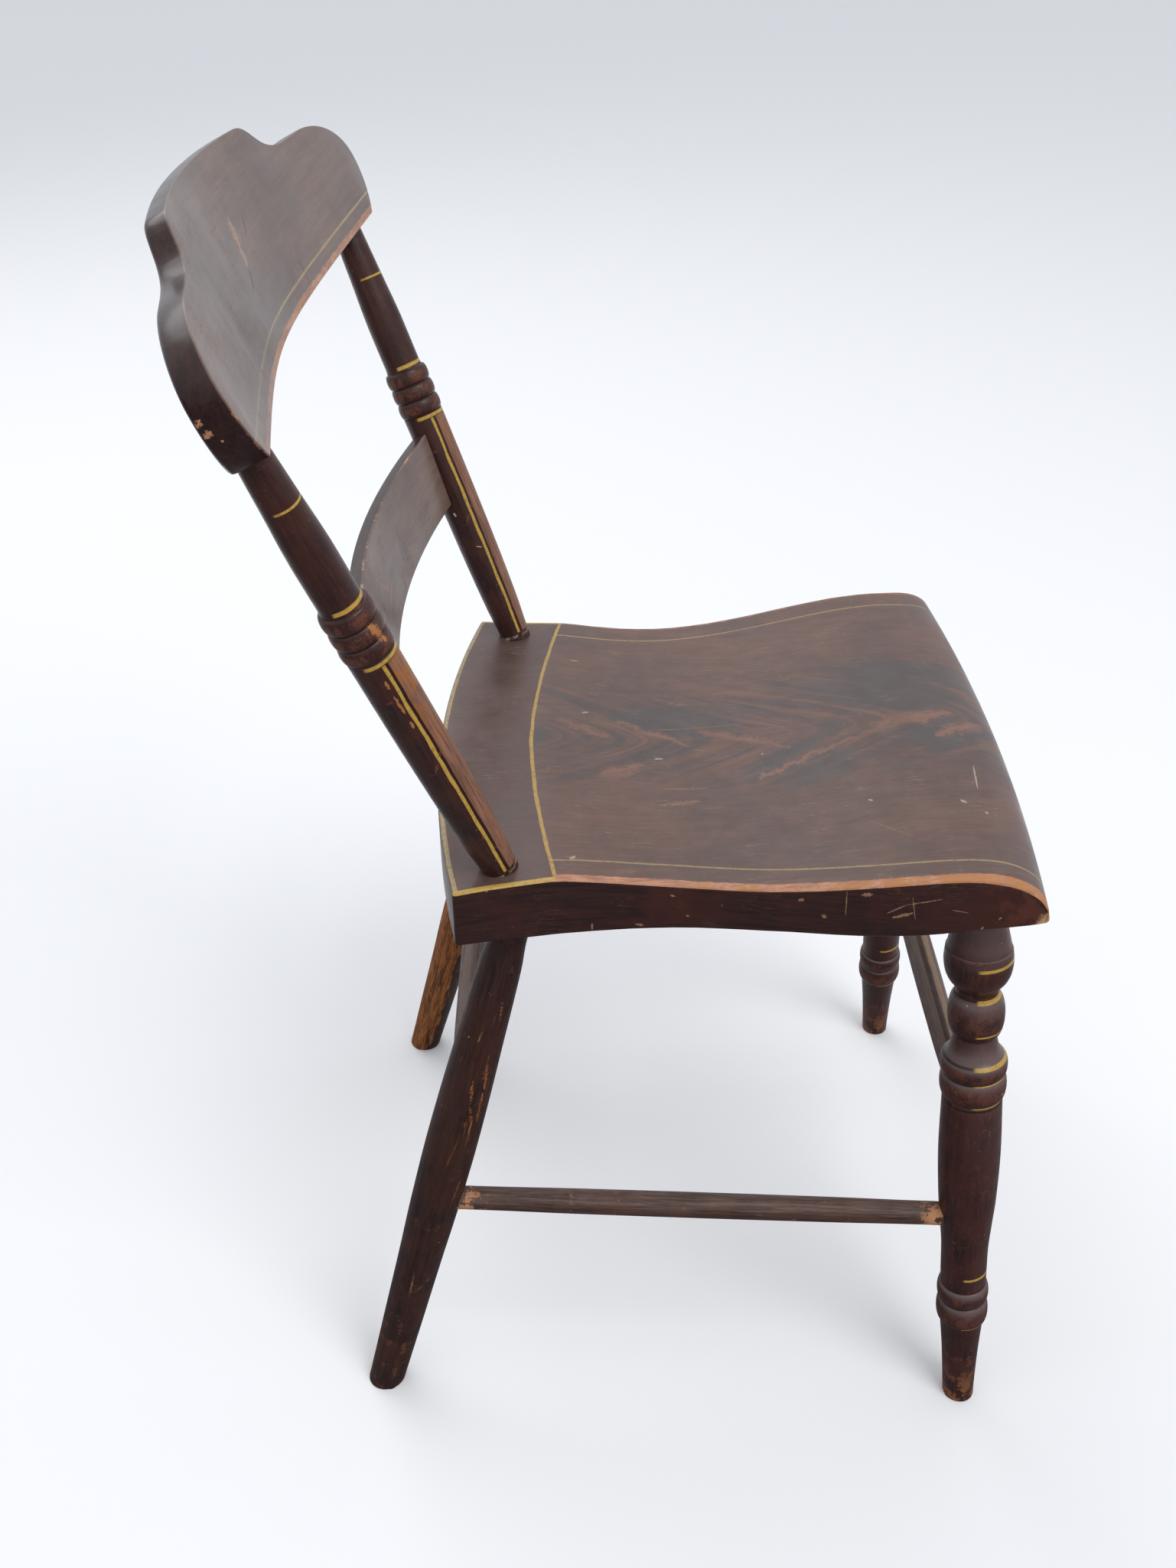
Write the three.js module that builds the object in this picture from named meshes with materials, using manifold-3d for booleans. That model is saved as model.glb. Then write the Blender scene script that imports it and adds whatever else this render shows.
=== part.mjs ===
import * as THREE from 'three';
import { mergeVertices } from 'three/addons/utils/BufferGeometryUtils.js';
import Module from 'manifold-3d';

const wasm = await Module();
wasm.setup();

// A plank seat side chair. Millimetres, +Z up, the sitter faces -Y, the floor is z = 0.
// Left and right are the sitter's own, so the right side is at -X.
// Sizes front to back are drawn from a line near the middle of the seat, and the finished
// chair is then centred over the origin.

// Seat plank, side view: heights are from the rear edge of the top or of the underside
const seatRearHeight = 436.5;
const seatPanelRise = 4.3;
const seatCreaseY = 80;
const seatSaddleY = 4;
const seatSaddleDrop = 5.3;
const seatCrownY = -166;
const seatCrownRise = 17.5;
const seatRearThickness = 38;
const seatArchY = -20;
const seatArchRise = 6.5;
const seatFrontUndersideY = -150;
const seatFrontUndersideRise = 14.5;
const seatNoseUndersideRise = 36;

// Seat plank, length of the easing at each end of the curves of the side view
const creaseEase = 24;
const creaseEaseDrop = 2.6;
const saddleRearEase = 26;
const saddleFrontEase = 58;
const crownEase = 48;
const noseEase = 24;
const noseEaseDrop = 10;
const undersideEase = 22;
const undersideEaseRise = 3;
const archFrontEase = 45;
const archFrontEaseDrop = 4.5;
const archRearEase = 60;
const archRearRun = 30;

// Seat plank, front roll
const seatNoseY = -215;
const seatNoseSetback = 10;
const seatRollDepth = 30;
const seatRollDrop = 22;

// Seat plank, plan
const seatRearY = 157;
const seatRearBow = 19;
const seatRearHalfWidth = 168.5;
const seatWaistHalfWidth = 157.3;
const seatWaistY = 36;
const seatFrontHalfWidth = 187;
const rearFlare = 5.5;
const rearFlareEase = 32;
const waistRearEase = 34;
const waistFrontEase = 60;
const frontFlare = 8;
const frontFlareEase = 110;

// Front legs: the axis meets the floor and the underside of the seat at these points
const frontFootX = 191;
const frontFootY = -207;
const frontTopX = 139.3;
const frontTopY = -180;
const frontTopHeight = 400;
const frontTenonRadius = 12.5;
const frontSocketDepth = 16;

// Front legs, from the floor up along the axis
const frontFootRadius = 10.8;
const frontFootSwellAlong = 41;
const frontFootSwellRadius = 12.5;
const frontFootTopRadius = 14.8;
const frontLowBeadStart = 73;
const frontLowBeadHeight = 19;
const frontLowBeadRadius = 17.6;
const frontAnkleBeadHeight = 14;
const frontAnkleBeadRadius = 17.5;
const frontAnkleRadius = 15.6;
const frontAnkleTop = 136;
const frontShaftStart = 184;
const frontShaftStartRadius = 19.1;
const frontShaftMiddle = 222;
const frontShaftMiddleRadius = 20.2;
const frontShaftTop = 266;
const frontShaftTopRadius = 19.3;
const frontCollarBeadHeight = 15;
const frontCollarBeadRadius = 21.2;
const frontUpperBeadHeight = 18;
const frontUpperBeadRadius = 21.7;
const frontCoveRadius = 18.2;
const frontNeckStart = 316;
const frontNeckRadius = 13.6;
const frontBallHeight = 30;
const frontBallRadius = 17.8;
const frontNeckHeight = 4;
const frontVaseRootRadius = 16.5;
const frontVaseBelly = 366;
const frontVaseRadius = 21.3;
const frontVaseEdge = 377;
const frontVaseEdgeRadius = 20.5;
const frontVaseShoulder = 388;
const frontVaseShoulderRadius = 17.9;
const frontVaseTopRadius = 15.5;
const frontVaseTopDrop = 14;

// Rear legs: the axis meets the floor and the underside of the seat at these points
const rearFootX = 175.8;
const rearFootY = 207.1;
const rearTopX = 130.8;
const rearTopY = 103;
const rearTopHeight = 400;
const rearTenonRadius = 11.5;
const rearSocketDepth = 14;

// Rear legs, from the floor up along the axis
const rearFootRadius = 12.6;
const rearShinAlong = 120;
const rearShinRadius = 15.2;
const rearSwellAlong = 220;
const rearSwellRadius = 17.2;
const rearThighAlong = 310;
const rearThighRadius = 15.4;
const rearTopRadius = 13.5;
const rearTopTaper = 22;

// Back posts: the axis leaves the seat top here and leans back and out
const postSeatX = 143.1;
const postSeatY = 111.3;
const postSplay = 9.73;
const postLean = 20.8;
const postLength = 302.3;
const postSeatRadius = 10.6;
const postAnkleAlong = 28;
const postAnkleRadius = 12.2;
const postCalfAlong = 74;
const postCalfRadius = 13.4;
const postSwellAlong = 130;
const postSwellRadius = 13.9;
const postBeadRadius = 14.9;
const postBeadRootRadius = 13.7;
const postBeadHeight = 10.6;
const postBeadStart = 175;
const postNeckRadius = 12.2;
const postNeckHeight = 28;
const postTopRadius = 9;
const postSocketDepth = 17;
const postTenonRadius = 6.2;
const postTenonLength = 20;

// Crest rail, seen square to its front face: heights are up the leaning face
const crestLean = 26.7;
const crestThickness = 22.5;
const crestTopThickness = 13.5;
const crestPostSetback = 12.5;
const crestBow = 28;
const crestKneeShare = 0.45;
const crestBottomHalfLength = 214.5;
const crestHalfLength = 233;
const crestEarHeight = 39;
const crestShoulderHeight = 72;
const crestShoulderHalfLength = 172;
const crestShoulderEase = 27;
const crestNotchRise = 9;
const crestNotchInset = 13;
const crestNotchEase = 13;
const crestTabletHalfLength = 104;
const crestTabletHeight = 97;
const crestTabletCorner = 14;
const crestTabletArch = 5;
const crestEarEase = 8;

// Mid rail between the posts
const railStart = 112;
const railHeight = 52;
const railThickness = 10;
const railBow = 26;
const railSetback = 5;
const railStop = 2.5;

// Stretchers, by the height at which their axes meet the legs
const sideStretcherFrontHeight = 163;
const sideStretcherRearHeight = 169;
const sideStretcherRadius = 8.6;
const sideStretcherEndRadius = 7.9;
const frontStretcherHeight = 236;
const frontStretcherRadius = 9.8;
const frontStretcherEndRadius = 8;
const rearStretcherHeight = 243;
const rearStretcherRadius = 8.8;
const rearStretcherEndRadius = 7.8;
const stretcherStop = 6;
const stretcherStraightEnd = 26;

// Gap left all round between a tenon and its socket
const clearance = 0.3;

// Number of flats round a turned piece, round a rod and round the wide ring of the front roll
const turnedSides = 20;
const rodSides = 16;
const ringSides = 240;
const rollSteps = 7;
const curveSteps = 9;
const bowSteps = 16;

// Depth of a cutting body where only its near face matters
const beyond = 60;

const X = new THREE.Vector3(1, 0, 0);
const Y = new THREE.Vector3(0, 1, 0);
const Z = new THREE.Vector3(0, 0, 1);

function solid(geometry) {
  const bare = geometry.clone();
  bare.deleteAttribute('normal');
  bare.deleteAttribute('uv');
  const merged = mergeVertices(bare, 1e-4);
  const index = merged.index.array;
  const corners = [];
  for (let i = 0; i < index.length; i += 3) {
    const [a, b, c] = [index[i], index[i + 1], index[i + 2]];
    if (a !== b && b !== c && c !== a) {
      corners.push(a, b, c);
    }
  }
  const vertProperties = new Float32Array(merged.attributes.position.array);
  const triVerts = new Uint32Array(corners);
  return new wasm.Manifold(new wasm.Mesh({ numProp: 3, vertProperties, triVerts }));
}

function meshOf(name, body, colour, roughness) {
  const { vertProperties, triVerts } = body.getMesh();
  const geometry = new THREE.BufferGeometry();
  geometry.setAttribute('position', new THREE.BufferAttribute(new Float32Array(vertProperties), 3));
  geometry.setIndex(new THREE.BufferAttribute(new Uint32Array(triVerts), 1));
  geometry.computeVertexNormals();
  const material = new THREE.MeshStandardMaterial({ color: colour, roughness, metalness: 0 });
  const mesh = new THREE.Mesh(geometry, material);
  mesh.name = name;
  return mesh;
}

function box(minCorner, maxCorner) {
  const size = maxCorner.clone().sub(minCorner);
  const geometry = new THREE.BoxGeometry(size.x, size.y, size.z);
  const centre = minCorner.clone().add(maxCorner).multiplyScalar(0.5);
  geometry.translate(centre.x, centre.y, centre.z);
  return geometry;
}

// A profile of [distance along the axis, radius] pairs, turned about the line from base to tip
function turned(profile, base, tip, sides = turnedSides) {
  const points = [new THREE.Vector2(0, profile[0][0])];
  for (const [along, radius] of profile) {
    points.push(new THREE.Vector2(radius, along));
  }
  points.push(new THREE.Vector2(0, profile[profile.length - 1][0]));
  const geometry = new THREE.LatheGeometry(points, sides);
  const direction = tip.clone().sub(base).normalize();
  geometry.applyQuaternion(new THREE.Quaternion().setFromUnitVectors(Y, direction));
  geometry.translate(base.x, base.y, base.z);
  return solid(geometry);
}

// A half round bead on a turned piece, as profile points without its two ends
function bead(start, height, rootRadius, crownRadius) {
  const points = [];
  for (const share of [0.16, 0.5, 0.84]) {
    const lift = Math.sqrt(1 - (2 * share - 1) ** 2);
    points.push([start + height * share, rootRadius + (crownRadius - rootRadius) * lift]);
  }
  return points;
}

function pointAt(base, direction, along) {
  return base.clone().addScaledVector(direction, along);
}

// The point on a line at a height above the floor
function atHeight(line, height) {
  const share = (height - line.base.z) / (line.tip.z - line.base.z);
  return line.base.clone().lerp(line.tip, share);
}

// A closed outline from its right half, which runs from one end of the middle line to the other
function mirroredShape(path) {
  const right = path.getPoints(curveSteps);
  const left = right.map((point) => new THREE.Vector2(-point.x, point.y)).reverse();
  return new THREE.Shape([...right, ...left]);
}

// The heights of the seat's top and underside that other pieces meet
const seatBottomRear = seatRearHeight - seatRearThickness;
const seatCreaseHeight = seatRearHeight + seatPanelRise;
const seatCrownHeight = seatRearHeight + seatCrownRise;
const seatSaddleHeight = seatCreaseHeight - seatSaddleDrop;
const seatUndersideFront = seatBottomRear + seatFrontUndersideRise;
const seatUndersideNose = seatBottomRear + seatNoseUndersideRise;
const seatArchHeight = seatBottomRear + seatArchRise;

// Height of the flat rear panel at a distance from the middle of the chair
function panelHeight(y) {
  const share = (seatRearY - y) / (seatRearY - seatCreaseY);
  return seatRearHeight + seatPanelRise * share;
}

// The side lines of the chair, each as base point, tip point and unit direction
function lineOf(base, tip) {
  return { base, tip, direction: tip.clone().sub(base).normalize() };
}

function frontLegLine(side) {
  const base = new THREE.Vector3(side * frontFootX, frontFootY, 0);
  const tip = new THREE.Vector3(side * frontTopX, frontTopY, frontTopHeight);
  return lineOf(base, tip);
}

function rearLegLine(side) {
  const base = new THREE.Vector3(side * rearFootX, rearFootY, 0);
  const tip = new THREE.Vector3(side * rearTopX, rearTopY, rearTopHeight);
  return lineOf(base, tip);
}

function postLine(side) {
  const base = new THREE.Vector3(side * postSeatX, postSeatY, panelHeight(postSeatY));
  const outward = side * Math.tan(THREE.MathUtils.degToRad(postSplay));
  const backward = Math.tan(THREE.MathUtils.degToRad(postLean));
  const direction = new THREE.Vector3(outward, backward, 1).normalize();
  return lineOf(base, pointAt(base, direction, postLength));
}

// Seat: the side profile drawn in (y, z), swept across the chair
function seatProfile() {
  const front = seatNoseY - beyond / 2;
  const rear = seatRearY + beyond;
  const slope = (seatUndersideNose - seatUndersideFront) / (seatFrontUndersideY - seatNoseY);
  const shape = new THREE.Shape();
  shape.moveTo(rear, panelHeight(rear));
  shape.lineTo(seatCreaseY, seatCreaseHeight);
  shape.bezierCurveTo(seatCreaseY - creaseEase, seatCreaseHeight - creaseEaseDrop,
    seatSaddleY + saddleRearEase, seatSaddleHeight, seatSaddleY, seatSaddleHeight);
  shape.bezierCurveTo(seatSaddleY - saddleFrontEase, seatSaddleHeight,
    seatCrownY + crownEase, seatCrownHeight, seatCrownY, seatCrownHeight);
  shape.lineTo(front, seatCrownHeight);
  shape.lineTo(front, seatUndersideNose + slope * beyond / 2);
  shape.lineTo(seatNoseY, seatUndersideNose);
  shape.bezierCurveTo(seatNoseY + noseEase, seatUndersideNose - noseEaseDrop,
    seatFrontUndersideY - undersideEase, seatUndersideFront + undersideEaseRise,
    seatFrontUndersideY, seatUndersideFront);
  shape.bezierCurveTo(seatFrontUndersideY + archFrontEase, seatUndersideFront - archFrontEaseDrop,
    seatArchY - archFrontEase, seatArchHeight, seatArchY, seatArchHeight);
  shape.bezierCurveTo(seatArchY + archRearEase, seatArchHeight, seatCreaseY, seatBottomRear,
    seatCreaseY + archRearRun, seatBottomRear);
  shape.lineTo(rear, seatBottomRear);
  return shape;
}

// Seat: the right half of the outline seen from above, from front to rear
function seatPlan() {
  const rearCornerY = seatRearY - seatRearBow;
  const frontCornerY = seatNoseY + seatNoseSetback / 2;
  const front = seatNoseY - beyond / 2;
  const half = new THREE.Path();
  half.moveTo(0, front);
  half.lineTo(seatFrontHalfWidth, front);
  half.lineTo(seatFrontHalfWidth, frontCornerY);
  half.bezierCurveTo(seatFrontHalfWidth - frontFlare, frontCornerY + frontFlareEase,
    seatWaistHalfWidth, seatWaistY - waistFrontEase, seatWaistHalfWidth, seatWaistY);
  half.bezierCurveTo(seatWaistHalfWidth, seatWaistY + waistRearEase,
    seatRearHalfWidth - rearFlare, rearCornerY - rearFlareEase, seatRearHalfWidth, rearCornerY);
  half.quadraticCurveTo(seatRearHalfWidth / 2, seatRearY, 0, seatRearY);
  return mirroredShape(half);
}

// Seat: a wide ring whose rim is the rounded front roll, so that the roll follows the bowed front
function seatFrontRoll() {
  const half = seatFrontHalfWidth;
  const ringRadius = (half * half + seatNoseSetback * seatNoseSetback) / (2 * seatNoseSetback);
  const innerRadius = ringRadius - (seatRearY - seatNoseY) - beyond;
  const points = [new THREE.Vector2(innerRadius, seatBottomRear - beyond)];
  points.push(new THREE.Vector2(ringRadius, seatBottomRear - beyond));
  for (let i = 0; i <= rollSteps; i += 1) {
    const angle = (i / rollSteps) * Math.PI / 2;
    const back = seatRollDepth * (1 - Math.cos(angle));
    const drop = (seatRollDrop + clearance) * (1 - Math.sin(angle));
    points.push(new THREE.Vector2(ringRadius - back, seatCrownHeight + clearance - drop));
  }
  points.push(new THREE.Vector2(ringRadius - seatRollDepth, seatCrownHeight + beyond));
  points.push(new THREE.Vector2(innerRadius, seatCrownHeight + beyond));
  points.push(points[0].clone());
  const geometry = new THREE.LatheGeometry(points, ringSides);
  geometry.rotateX(Math.PI / 2);
  geometry.translate(0, seatNoseY + ringRadius, 0);
  return solid(geometry);
}

function seatBlank() {
  const width = 2 * seatFrontHalfWidth + beyond;
  const across = new THREE.ExtrudeGeometry(seatProfile(),
    { depth: width, bevelEnabled: false, curveSegments: curveSteps });
  across.translate(0, 0, -width / 2);
  across.applyMatrix4(new THREE.Matrix4().makeBasis(Y, Z, X));
  const upright = new THREE.ExtrudeGeometry(seatPlan(),
    { depth: seatCrownHeight + beyond, bevelEnabled: false });
  return solid(across).intersect(solid(upright)).intersect(seatFrontRoll());
}

// Distance up the front leg at which its axis meets the underside of the seat
function frontUndersideAlong() {
  const share = (seatFrontUndersideY - frontTopY) / (seatFrontUndersideY - seatNoseY);
  const eased = share * (1 + share) / 2;
  const height = seatUndersideFront + (seatUndersideNose - seatUndersideFront) * eased;
  return height / frontLegLine(1).direction.z;
}

function rearUndersideAlong() {
  return seatBottomRear / rearLegLine(1).direction.z;
}

// Front leg profile from the floor up; the last length is the tenon in the seat
function frontLegProfile() {
  const underside = frontUndersideAlong();
  const ankleBeadStart = frontLowBeadStart + frontLowBeadHeight;
  const ankleStart = ankleBeadStart + frontAnkleBeadHeight;
  const upperBeadStart = frontShaftTop + frontCollarBeadHeight;
  const coveStart = upperBeadStart + frontUpperBeadHeight;
  const ballEnd = frontNeckStart + frontBallHeight;
  const vaseStart = ballEnd + frontNeckHeight;
  return [
    [-beyond / 2, frontFootRadius],
    [0, frontFootRadius],
    [frontFootSwellAlong, frontFootSwellRadius],
    [frontLowBeadStart, frontFootTopRadius],
    ...bead(frontLowBeadStart, frontLowBeadHeight, frontAnkleRadius, frontLowBeadRadius),
    [ankleBeadStart, frontAnkleRadius],
    ...bead(ankleBeadStart, frontAnkleBeadHeight, frontAnkleRadius, frontAnkleBeadRadius),
    [ankleStart, frontAnkleRadius],
    [frontAnkleTop, frontAnkleRadius],
    [(frontAnkleTop + frontShaftStart) / 2, (frontAnkleRadius + frontShaftStartRadius) / 2],
    [frontShaftStart, frontShaftStartRadius],
    [frontShaftMiddle, frontShaftMiddleRadius],
    [frontShaftTop, frontShaftTopRadius],
    ...bead(frontShaftTop, frontCollarBeadHeight, frontShaftTopRadius, frontCollarBeadRadius),
    [upperBeadStart, frontShaftTopRadius],
    ...bead(upperBeadStart, frontUpperBeadHeight, frontShaftTopRadius, frontUpperBeadRadius),
    [coveStart, frontCoveRadius],
    [(coveStart + frontNeckStart) / 2, (frontCoveRadius + 2 * frontNeckRadius) / 3],
    [frontNeckStart, frontNeckRadius],
    ...bead(frontNeckStart, frontBallHeight, frontNeckRadius, frontBallRadius),
    [ballEnd, frontNeckRadius],
    [vaseStart, frontNeckRadius],
    [(vaseStart + frontVaseBelly) / 2, (frontVaseRootRadius + frontVaseRadius) / 2],
    [frontVaseBelly, frontVaseRadius],
    [frontVaseEdge, frontVaseEdgeRadius],
    [frontVaseShoulder, frontVaseShoulderRadius],
    [underside - frontVaseTopDrop, frontVaseTopRadius],
    [underside - frontVaseTopDrop / 2, frontTenonRadius],
    [underside + frontSocketDepth, frontTenonRadius],
  ];
}

function rearLegProfile() {
  const underside = rearUndersideAlong();
  return [
    [-beyond / 2, rearFootRadius],
    [0, rearFootRadius],
    [rearShinAlong / 2, (rearFootRadius + rearShinRadius) / 2],
    [rearShinAlong, rearShinRadius],
    [(rearShinAlong + rearSwellAlong) / 2, (rearShinRadius + 2 * rearSwellRadius) / 3],
    [rearSwellAlong, rearSwellRadius],
    [(rearSwellAlong + rearThighAlong) / 2, (rearThighRadius + 2 * rearSwellRadius) / 3],
    [rearThighAlong, rearThighRadius],
    [underside - rearTopTaper, rearTopRadius],
    [underside - rearTopTaper / 3, rearTenonRadius],
    [underside + rearSocketDepth, rearTenonRadius],
  ];
}

function postProfile() {
  const beads = [];
  for (let i = 0; i < 3; i += 1) {
    const start = postBeadStart + i * postBeadHeight;
    beads.push([start, postBeadRootRadius]);
    beads.push(...bead(start, postBeadHeight, postBeadRootRadius, postBeadRadius));
  }
  const beadEnd = postBeadStart + 3 * postBeadHeight;
  return [
    [-postSocketDepth, postSeatRadius],
    [0, postSeatRadius],
    [postAnkleAlong, postAnkleRadius],
    [postCalfAlong, postCalfRadius],
    [postSwellAlong, postSwellRadius],
    ...beads,
    [beadEnd, postBeadRootRadius],
    [beadEnd + 2, postNeckRadius],
    [beadEnd + postNeckHeight, postNeckRadius],
    [postLength + beyond / 4, postTopRadius],
  ];
}

// The bow of the crest rail: how far its front face lies behind its ends, at s from the middle
function crestBack(s) {
  const knee = crestKneeShare * crestBottomHalfLength;
  const reach = Math.hypot(crestBottomHalfLength, knee);
  return crestBow * (reach - Math.hypot(s, knee)) / (reach - knee);
}

// A board bowed in plan: its section in (s, back), drawn with a front and a rear face
function bowedSection(halfLength, front, rear, backAt) {
  const shape = new THREE.Shape();
  for (let i = 0; i <= bowSteps; i += 1) {
    const s = -halfLength + (2 * halfLength * i) / bowSteps;
    if (i === 0) {
      shape.moveTo(s, backAt(s) + front);
    } else {
      shape.lineTo(s, backAt(s) + front);
    }
  }
  for (let i = bowSteps; i >= 0; i -= 1) {
    const s = -halfLength + (2 * halfLength * i) / bowSteps;
    shape.lineTo(s, backAt(s) + rear);
  }
  return shape;
}

// Puts a body drawn as x across, y back and z up the board into its leaning place
function leaned(geometry, leanDegrees, originY, originZ) {
  const lean = THREE.MathUtils.degToRad(leanDegrees);
  const placing = new THREE.Matrix4().makeRotationX(-lean);
  placing.setPosition(0, originY, originZ);
  return geometry.applyMatrix4(placing);
}

// The right half of the crest rail's outline, from the bottom up
function crestOutline() {
  const rise = crestShoulderHeight;
  const notch = crestTabletHalfLength + crestNotchInset;
  const shoulder = crestShoulderHalfLength;
  const half = new THREE.Path();
  half.moveTo(0, 0);
  half.lineTo(crestBottomHalfLength, 0);
  half.bezierCurveTo(crestHalfLength - 2, crestEarEase, crestHalfLength + 2,
    crestEarHeight - crestEarEase, crestHalfLength, crestEarHeight);
  half.bezierCurveTo(crestHalfLength - crestEarEase / 2, (crestEarHeight + 2 * rise) / 3,
    shoulder + crestShoulderEase, rise - 2, shoulder, rise);
  half.bezierCurveTo(shoulder - crestShoulderEase, rise + 2, notch + crestNotchEase, rise + 2,
    notch, rise + crestNotchRise);
  half.bezierCurveTo(notch - crestNotchEase / 2, rise + 1.5 * crestNotchRise,
    crestTabletHalfLength, crestTabletHeight,
    crestTabletHalfLength - crestTabletCorner, crestTabletHeight);
  half.quadraticCurveTo(crestTabletHalfLength / 2, crestTabletHeight + crestTabletArch,
    0, crestTabletHeight + crestTabletArch);
  return mirroredShape(half);
}

// Where the crest rail's front bottom edge starts, so that the posts meet it inside its thickness
function crestOrigin() {
  const top = postLine(1).tip;
  const lean = THREE.MathUtils.degToRad(crestLean);
  const middle = crestBack(top.x) + crestPostSetback;
  return { y: top.y - middle * Math.cos(lean), z: top.z + middle * Math.sin(lean) };
}

// The crest rail: a bowed board, planed thinner towards its top at the back, cut to its outline
function crestBody() {
  const height = crestTabletHeight + crestTabletArch;
  const origin = crestOrigin();
  const reach = crestHalfLength + beyond / 10;
  const taper = Math.atan((crestThickness - crestTopThickness) / height);
  const placed = (geometry) => solid(leaned(geometry, crestLean, origin.y, origin.z));
  const front = new THREE.ExtrudeGeometry(bowedSection(reach, 0, crestThickness + beyond, crestBack),
    { depth: height + beyond, bevelEnabled: false });
  front.translate(0, 0, -beyond / 2);
  const rear = new THREE.ExtrudeGeometry(bowedSection(reach, -beyond, 0, crestBack),
    { depth: height + 2 * beyond, bevelEnabled: false });
  rear.translate(0, 0, -beyond);
  rear.rotateX(taper);
  rear.translate(0, crestThickness, 0);
  const depth = crestBow + crestThickness + beyond;
  const face = new THREE.ExtrudeGeometry(crestOutline(), { depth, bevelEnabled: false });
  face.rotateX(Math.PI / 2);
  face.translate(0, depth - beyond / 2, 0);
  let body = placed(front).intersect(placed(rear)).intersect(placed(face));
  for (const side of [-1, 1]) {
    body = body.subtract(postTenon(side, clearance));
  }
  return body;
}

function postTenon(side, extra = 0) {
  const line = postLine(side);
  const profile = [
    [postLength - beyond / 2, postTenonRadius + extra],
    [postLength + postTenonLength + extra, postTenonRadius + extra],
  ];
  return turned(profile, line.base, line.tip, rodSides);
}

// Everything above the crest rail's underside, less a hair's gap, for trimming the post shoulders
function aboveCrestUnderside() {
  const origin = crestOrigin();
  const reach = 2 * crestHalfLength;
  const slab = box(new THREE.Vector3(-reach, -reach, -clearance), new THREE.Vector3(reach, reach, beyond));
  return solid(leaned(slab, crestLean, origin.y, origin.z));
}

function railBack(s) {
  return railBow * (1 - (s / railHalfLength(0)) ** 2);
}

// Half length of the mid rail at a height up its face: it ends just short of the post axes
function railHalfLength(up) {
  const { direction, base } = postLine(1);
  const spread = direction.x / Math.hypot(direction.y, direction.z);
  return pointAt(base, direction, railStart).x + spread * up - railStop;
}

function railBody(grow = 0) {
  const line = postLine(1);
  const start = pointAt(line.base, line.direction, railStart);
  const low = railHalfLength(-grow) + grow;
  const high = railHalfLength(railHeight + grow) + grow;
  const half = railThickness / 2 + grow;
  const board = new THREE.ExtrudeGeometry(bowedSection(high, -half, half, railBack),
    { depth: railHeight + 2 * grow, bevelEnabled: false });
  board.translate(0, 0, -grow);
  const outline = new THREE.Shape();
  outline.moveTo(-low, -grow);
  outline.lineTo(low, -grow);
  outline.lineTo(high, railHeight + grow);
  outline.lineTo(-high, railHeight + grow);
  const depth = railBow + railThickness + beyond;
  const face = new THREE.ExtrudeGeometry(outline, { depth, bevelEnabled: false });
  face.rotateX(Math.PI / 2);
  face.translate(0, depth - beyond / 2, 0);
  const lean = THREE.MathUtils.degToRad(postLean);
  const originY = start.y + railSetback * Math.cos(lean);
  const originZ = start.z - railSetback * Math.sin(lean);
  return solid(leaned(board, postLean, originY, originZ))
    .intersect(solid(leaned(face, postLean, originY, originZ)));
}

function belowFloor() {
  const reach = 2 * seatNoseY;
  return solid(box(new THREE.Vector3(reach, reach, -beyond), new THREE.Vector3(-reach, -reach, 0)));
}

// A rod between two legs; its ends stop short of the leg axes
function rodEnds(lineA, heightA, lineB, heightB) {
  const a = atHeight(lineA, heightA);
  const b = atHeight(lineB, heightB);
  const direction = b.clone().sub(a).normalize();
  return { base: pointAt(a, direction, stretcherStop), tip: pointAt(b, direction, -stretcherStop) };
}

// A rod that swells from its straight ends to its middle
function rodBody({ base, tip }, radius, endRadius) {
  const length = base.distanceTo(tip);
  const quarterRadius = endRadius + (radius - endRadius) * Math.SQRT1_2;
  const profile = [
    [0, endRadius],
    [stretcherStraightEnd, endRadius],
    [length / 4, quarterRadius],
    [length / 2, radius],
    [3 * length / 4, quarterRadius],
    [length - stretcherStraightEnd, endRadius],
    [length, endRadius],
  ];
  return turned(profile, base, tip, rodSides);
}

// The sockets that a rod needs at its two ends, as one body
function rodSockets({ base, tip }, endRadius) {
  const length = base.distanceTo(tip);
  const radius = endRadius + clearance;
  const near = [[-clearance, radius], [stretcherStraightEnd, radius]];
  const far = [[length - stretcherStraightEnd, radius], [length + clearance, radius]];
  return turned(near, base, tip, rodSides).add(turned(far, base, tip, rodSides));
}

const sideStretcherEnds = (side) => rodEnds(
  rearLegLine(side), sideStretcherRearHeight, frontLegLine(side), sideStretcherFrontHeight);
const frontStretcherEnds = rodEnds(
  frontLegLine(-1), frontStretcherHeight, frontLegLine(1), frontStretcherHeight);
const rearStretcherEnds = rodEnds(
  rearLegLine(-1), rearStretcherHeight, rearLegLine(1), rearStretcherHeight);

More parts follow.
